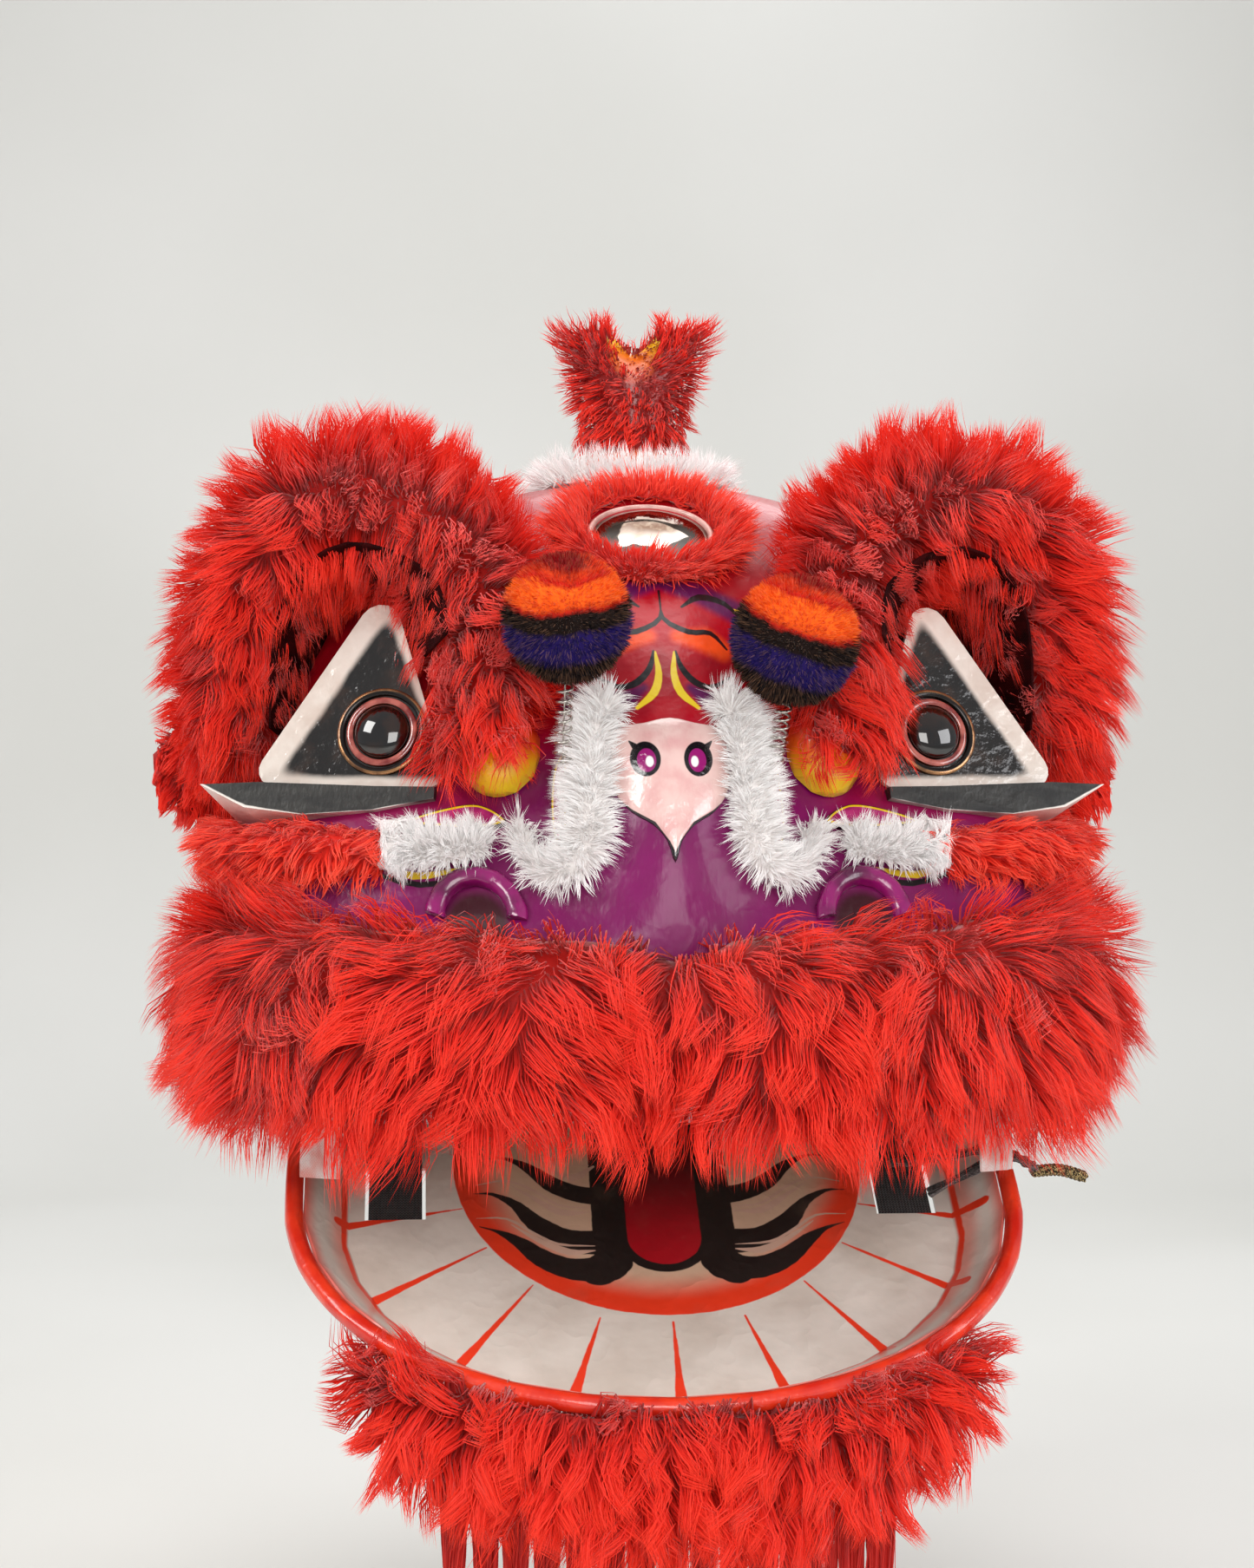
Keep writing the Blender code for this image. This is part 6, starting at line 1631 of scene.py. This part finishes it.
@dataclass
class Mouth:
    """The jaw, its rim, the board above it, the straps, flaps, net tie and braid."""

    def build(self) -> None:
        """Makes the jaw's pieces as rounded copies of their solids."""
        add_rounded("jaw_bowl", "jaw_dish", 5, Enamel.jaw(), "jaw_white", 30.0)
        rim = Enamel.plain("rim_red", paint(240, 62, 30), paint(214, 36, 18), 0.3, 34.0, 0.0016)
        add_rounded("jaw_edge", "jaw_rim", 6, rim, "jaw_red", 100.0)
        board = Enamel.plain("board_white", paint(206, 196, 184), paint(120, 104, 92), 0.45, 16.0, 0.003)
        dress("upper_mouth_board", board)
        webbing = Stuff.webbing()
        flap = Stuff.flap()
        for side, _ in SIDES:
            dress(f"jaw_strap_{side}", webbing)
            self.flap(side, flap)
        net = Solid.of("mesh_tie").rounded(7, 70.0).waved(0.0009, (90.0, 900.0, 700.0))
        add_piece("net_tie", net.mesh("net_tie", 180.0), Stuff.net(), "black_elastic", "mesh_tie")
        braid = Solid.of("glitter_braid").rounded(9, 70.0).waved(0.0007, (1500.0, 500.0, 700.0))
        add_piece("braid", braid.mesh("braid", 180.0), Stuff.glitter(), "glitter", "glitter_braid")

    def flap(self, side: str, finish: Finish) -> None:
        """A side flap: its solid's surface with low waves that run down it."""
        node = f"side_flap_{side}"
        cloth = Solid.of(node).rounded(10).waved(0.0016, (120.0, 230.0, 40.0), np.array((1.0, 0.0, 0.0)))
        piece = add_piece(f"flap_{side}", cloth.mesh(node), finish, "white_fur", node)


@dataclass
class Fringe:
    """The long loose yarns under the beard."""

    yarns: int = 2600
    width: float = 0.0016
    segments: int = 8
    seed: int = 71
    locks: int = 30

    def build(self) -> None:
        """Hangs the yarns in the space of the fringe's solid.

        A yarn starts across the width at the top, hangs down towards its lock's middle, and is moved by slow
        sines of its height. The nearer a lock's edge, the shorter it is.
        """
        low, high = (np.array(corner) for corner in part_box("beard_fringe"))
        dice = np.random.default_rng(self.seed)
        count = self.yarns
        across = dice.random(count)
        lock = np.floor(across * self.locks)
        offset = across * self.locks - lock - 0.5
        shorter = np.random.default_rng(7).random(self.locks)[lock.astype(int)]
        reach = 1 - 0.35 * np.abs(offset) * dice.random(count) - 0.3 * shorter
        share = np.linspace(0, 1, self.segments + 1)[None]
        width = high[0] - low[0]
        middle = 0.5 * (low[0] + high[0])
        x = low[0] + width * across[:, None] - (width / self.locks) * offset[:, None] * 0.55 * share**1.2
        phase = dice.random(count)[:, None] * 6.28
        x = x + 0.004 * share * np.sin(5.0 * share + phase)
        x = x + 0.006 * share * np.sin(3.1 * lock[:, None] + 2 * share)
        bow = ((x - middle) / (0.5 * width)) ** 2
        y = low[1] + 0.008 + (high[1] - low[1] - 0.016) * (0.75 * bow + 0.25 * dice.random(count)[:, None])
        y = y + 0.004 * share * np.cos(4.0 * share + phase)
        z = high[2] + 0.018 - (high[2] + 0.018 - low[2]) * reach[:, None] * share
        line = np.stack((x, y, z), axis=-1)
        turn = dice.uniform(-0.9, 0.9, count)
        side = np.stack((np.cos(turn), np.sin(turn), 0 * turn), axis=1)[:, None]
        half = 0.5 * self.width * (0.6 + 0.8 * dice.random((count, 1))) * (1 - 0.6 * share[:, :-1])
        points, corners, sizes, along = ribbons(line, side * half[..., None])
        tone = np.repeat(dice.random(count), 2 * self.segments + 1)
        # The yarns use the ramp from a quarter of the way along to short of its end, so less of the root's
        # painted shade and the tip's painted highlight.
        marks = {"along": 0.25 + 0.55 * along, "tone": tone}
        mesh = mesh_of("fringe_yarns", points, corners, sizes, marks, None)
        add_piece("fringe_yarns", mesh, dye_and_shade_finish(FRINGE_YARN), "red_fur", "beard_fringe")


@dataclass
class Studio:
    """The pale floor that sweeps up behind, the lights and the camera."""

    floor: float = -0.452
    azimuth: float = -4.5
    distance: float = 2.36
    sky: float = 0.42
    target: Triple = (-0.0135, 0.0, 0.33)

    def build(self) -> None:
        """Makes the sweep, five soft lamps, the sky and the camera."""
        self.sweep()
        for name, place, size, power, tint in (
                ("key", (-2.9, -1.7, 2.5), 1.4, 62.0, (1.0, 0.985, 0.96)),
                ("fill", (2.9, -2.0, 1.3), 1.6, 40.0, (0.98, 0.98, 1.0)),
                ("front", (0.1, -3.4, 1.15), 1.5, 46.0, (1.0, 0.98, 0.95)),
                ("top", (0.1, 0.3, 3.0), 1.8, 34.0, (1.0, 0.98, 0.96)),
                ("back", (0.5, 2.9, 3.3), 1.8, 40.0, (0.98, 0.99, 1.0))):
            self.lamp(name, place, size, power, tint)
        world = bpy.data.worlds.new("sky")
        world.use_nodes = True
        glow = world.node_tree.nodes["Background"]
        glow.inputs[0].default_value = (0.92, 0.93, 0.95, 1.0)
        glow.inputs[1].default_value = self.sky
        bpy.context.scene.world = world
        bpy.context.scene.view_settings.view_transform = "Standard"
        self.camera()

    def sweep(self) -> None:
        """A floor that turns up into a wall on a quarter circle behind the head, clear from its far side."""
        turn = np.linspace(0, math.pi / 2, 24)
        floor = np.stack((np.array((-9.0, -3.0, 1.6)), np.zeros(3)), axis=1)
        bend = np.stack((2.6 + 0.8 * np.sin(turn), 0.8 - 0.8 * np.cos(turn)), axis=1)
        wall = np.array(((3.4, 2.0), (3.4, 6.0)))
        path = np.concatenate((floor, bend, wall))
        points = np.stack([np.stack((np.full(len(path), x), path[:, 0], path[:, 1] + self.floor), axis=1)
                           for x in (-9.0, 9.0)], axis=1).reshape(-1, 3)
        mesh = mesh_of("sweep", points, grid_faces(len(path), 2, wrap=False), smooth=60.0)
        mix = Finish("pale_paper", Roughness=0.9)
        cloud = mix.noise(0.9, 2.0)
        mix.feed(Base_Color=mix.blend(cloud.ease(0.3, 0.7), paint(232, 232, 229), paint(225, 225, 221)))
        mix.one_sided()
        mesh.materials.append(mix.material)
        stand("sweep", mesh)

    def lamp(self, name: str, place: tuple, size: float, power: float, tint: Colour) -> None:
        """A square soft lamp that looks at the head."""
        light = bpy.data.lights.new(name, "AREA")
        light.shape = "SQUARE"
        light.size = size
        light.energy = power
        light.color = tint
        holder = stand(name, light)
        holder.location = place
        look_along(holder, Vector(self.target) - Vector(place))

    def camera(self) -> None:
        """The camera at the photograph's angle and framing, on an upright sheet."""
        lens = bpy.data.cameras.new("camera")
        lens.lens = 50.0
        lens.sensor_width = 24.0
        lens.sensor_fit = "HORIZONTAL"
        holder = stand("camera", lens)
        turn = math.radians(self.azimuth)
        away = Vector((math.sin(turn), -math.cos(turn), 0.0)) * self.distance
        holder.location = Vector(self.target) + away
        look_along(holder, -away)
        bpy.context.scene.camera = holder


def main() -> None:
    """Builds the dressed head over the frame, then the studio."""
    logging.basicConfig(level=logging.INFO, format="%(message)s")
    FRAME.update(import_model())
    for part in (Studio(), Shell(), Eyes(), Forehead(), Pompoms(), Mouth(), Fringe(), Coats()):
        part.build()


if __name__ == "__main__":
    main()
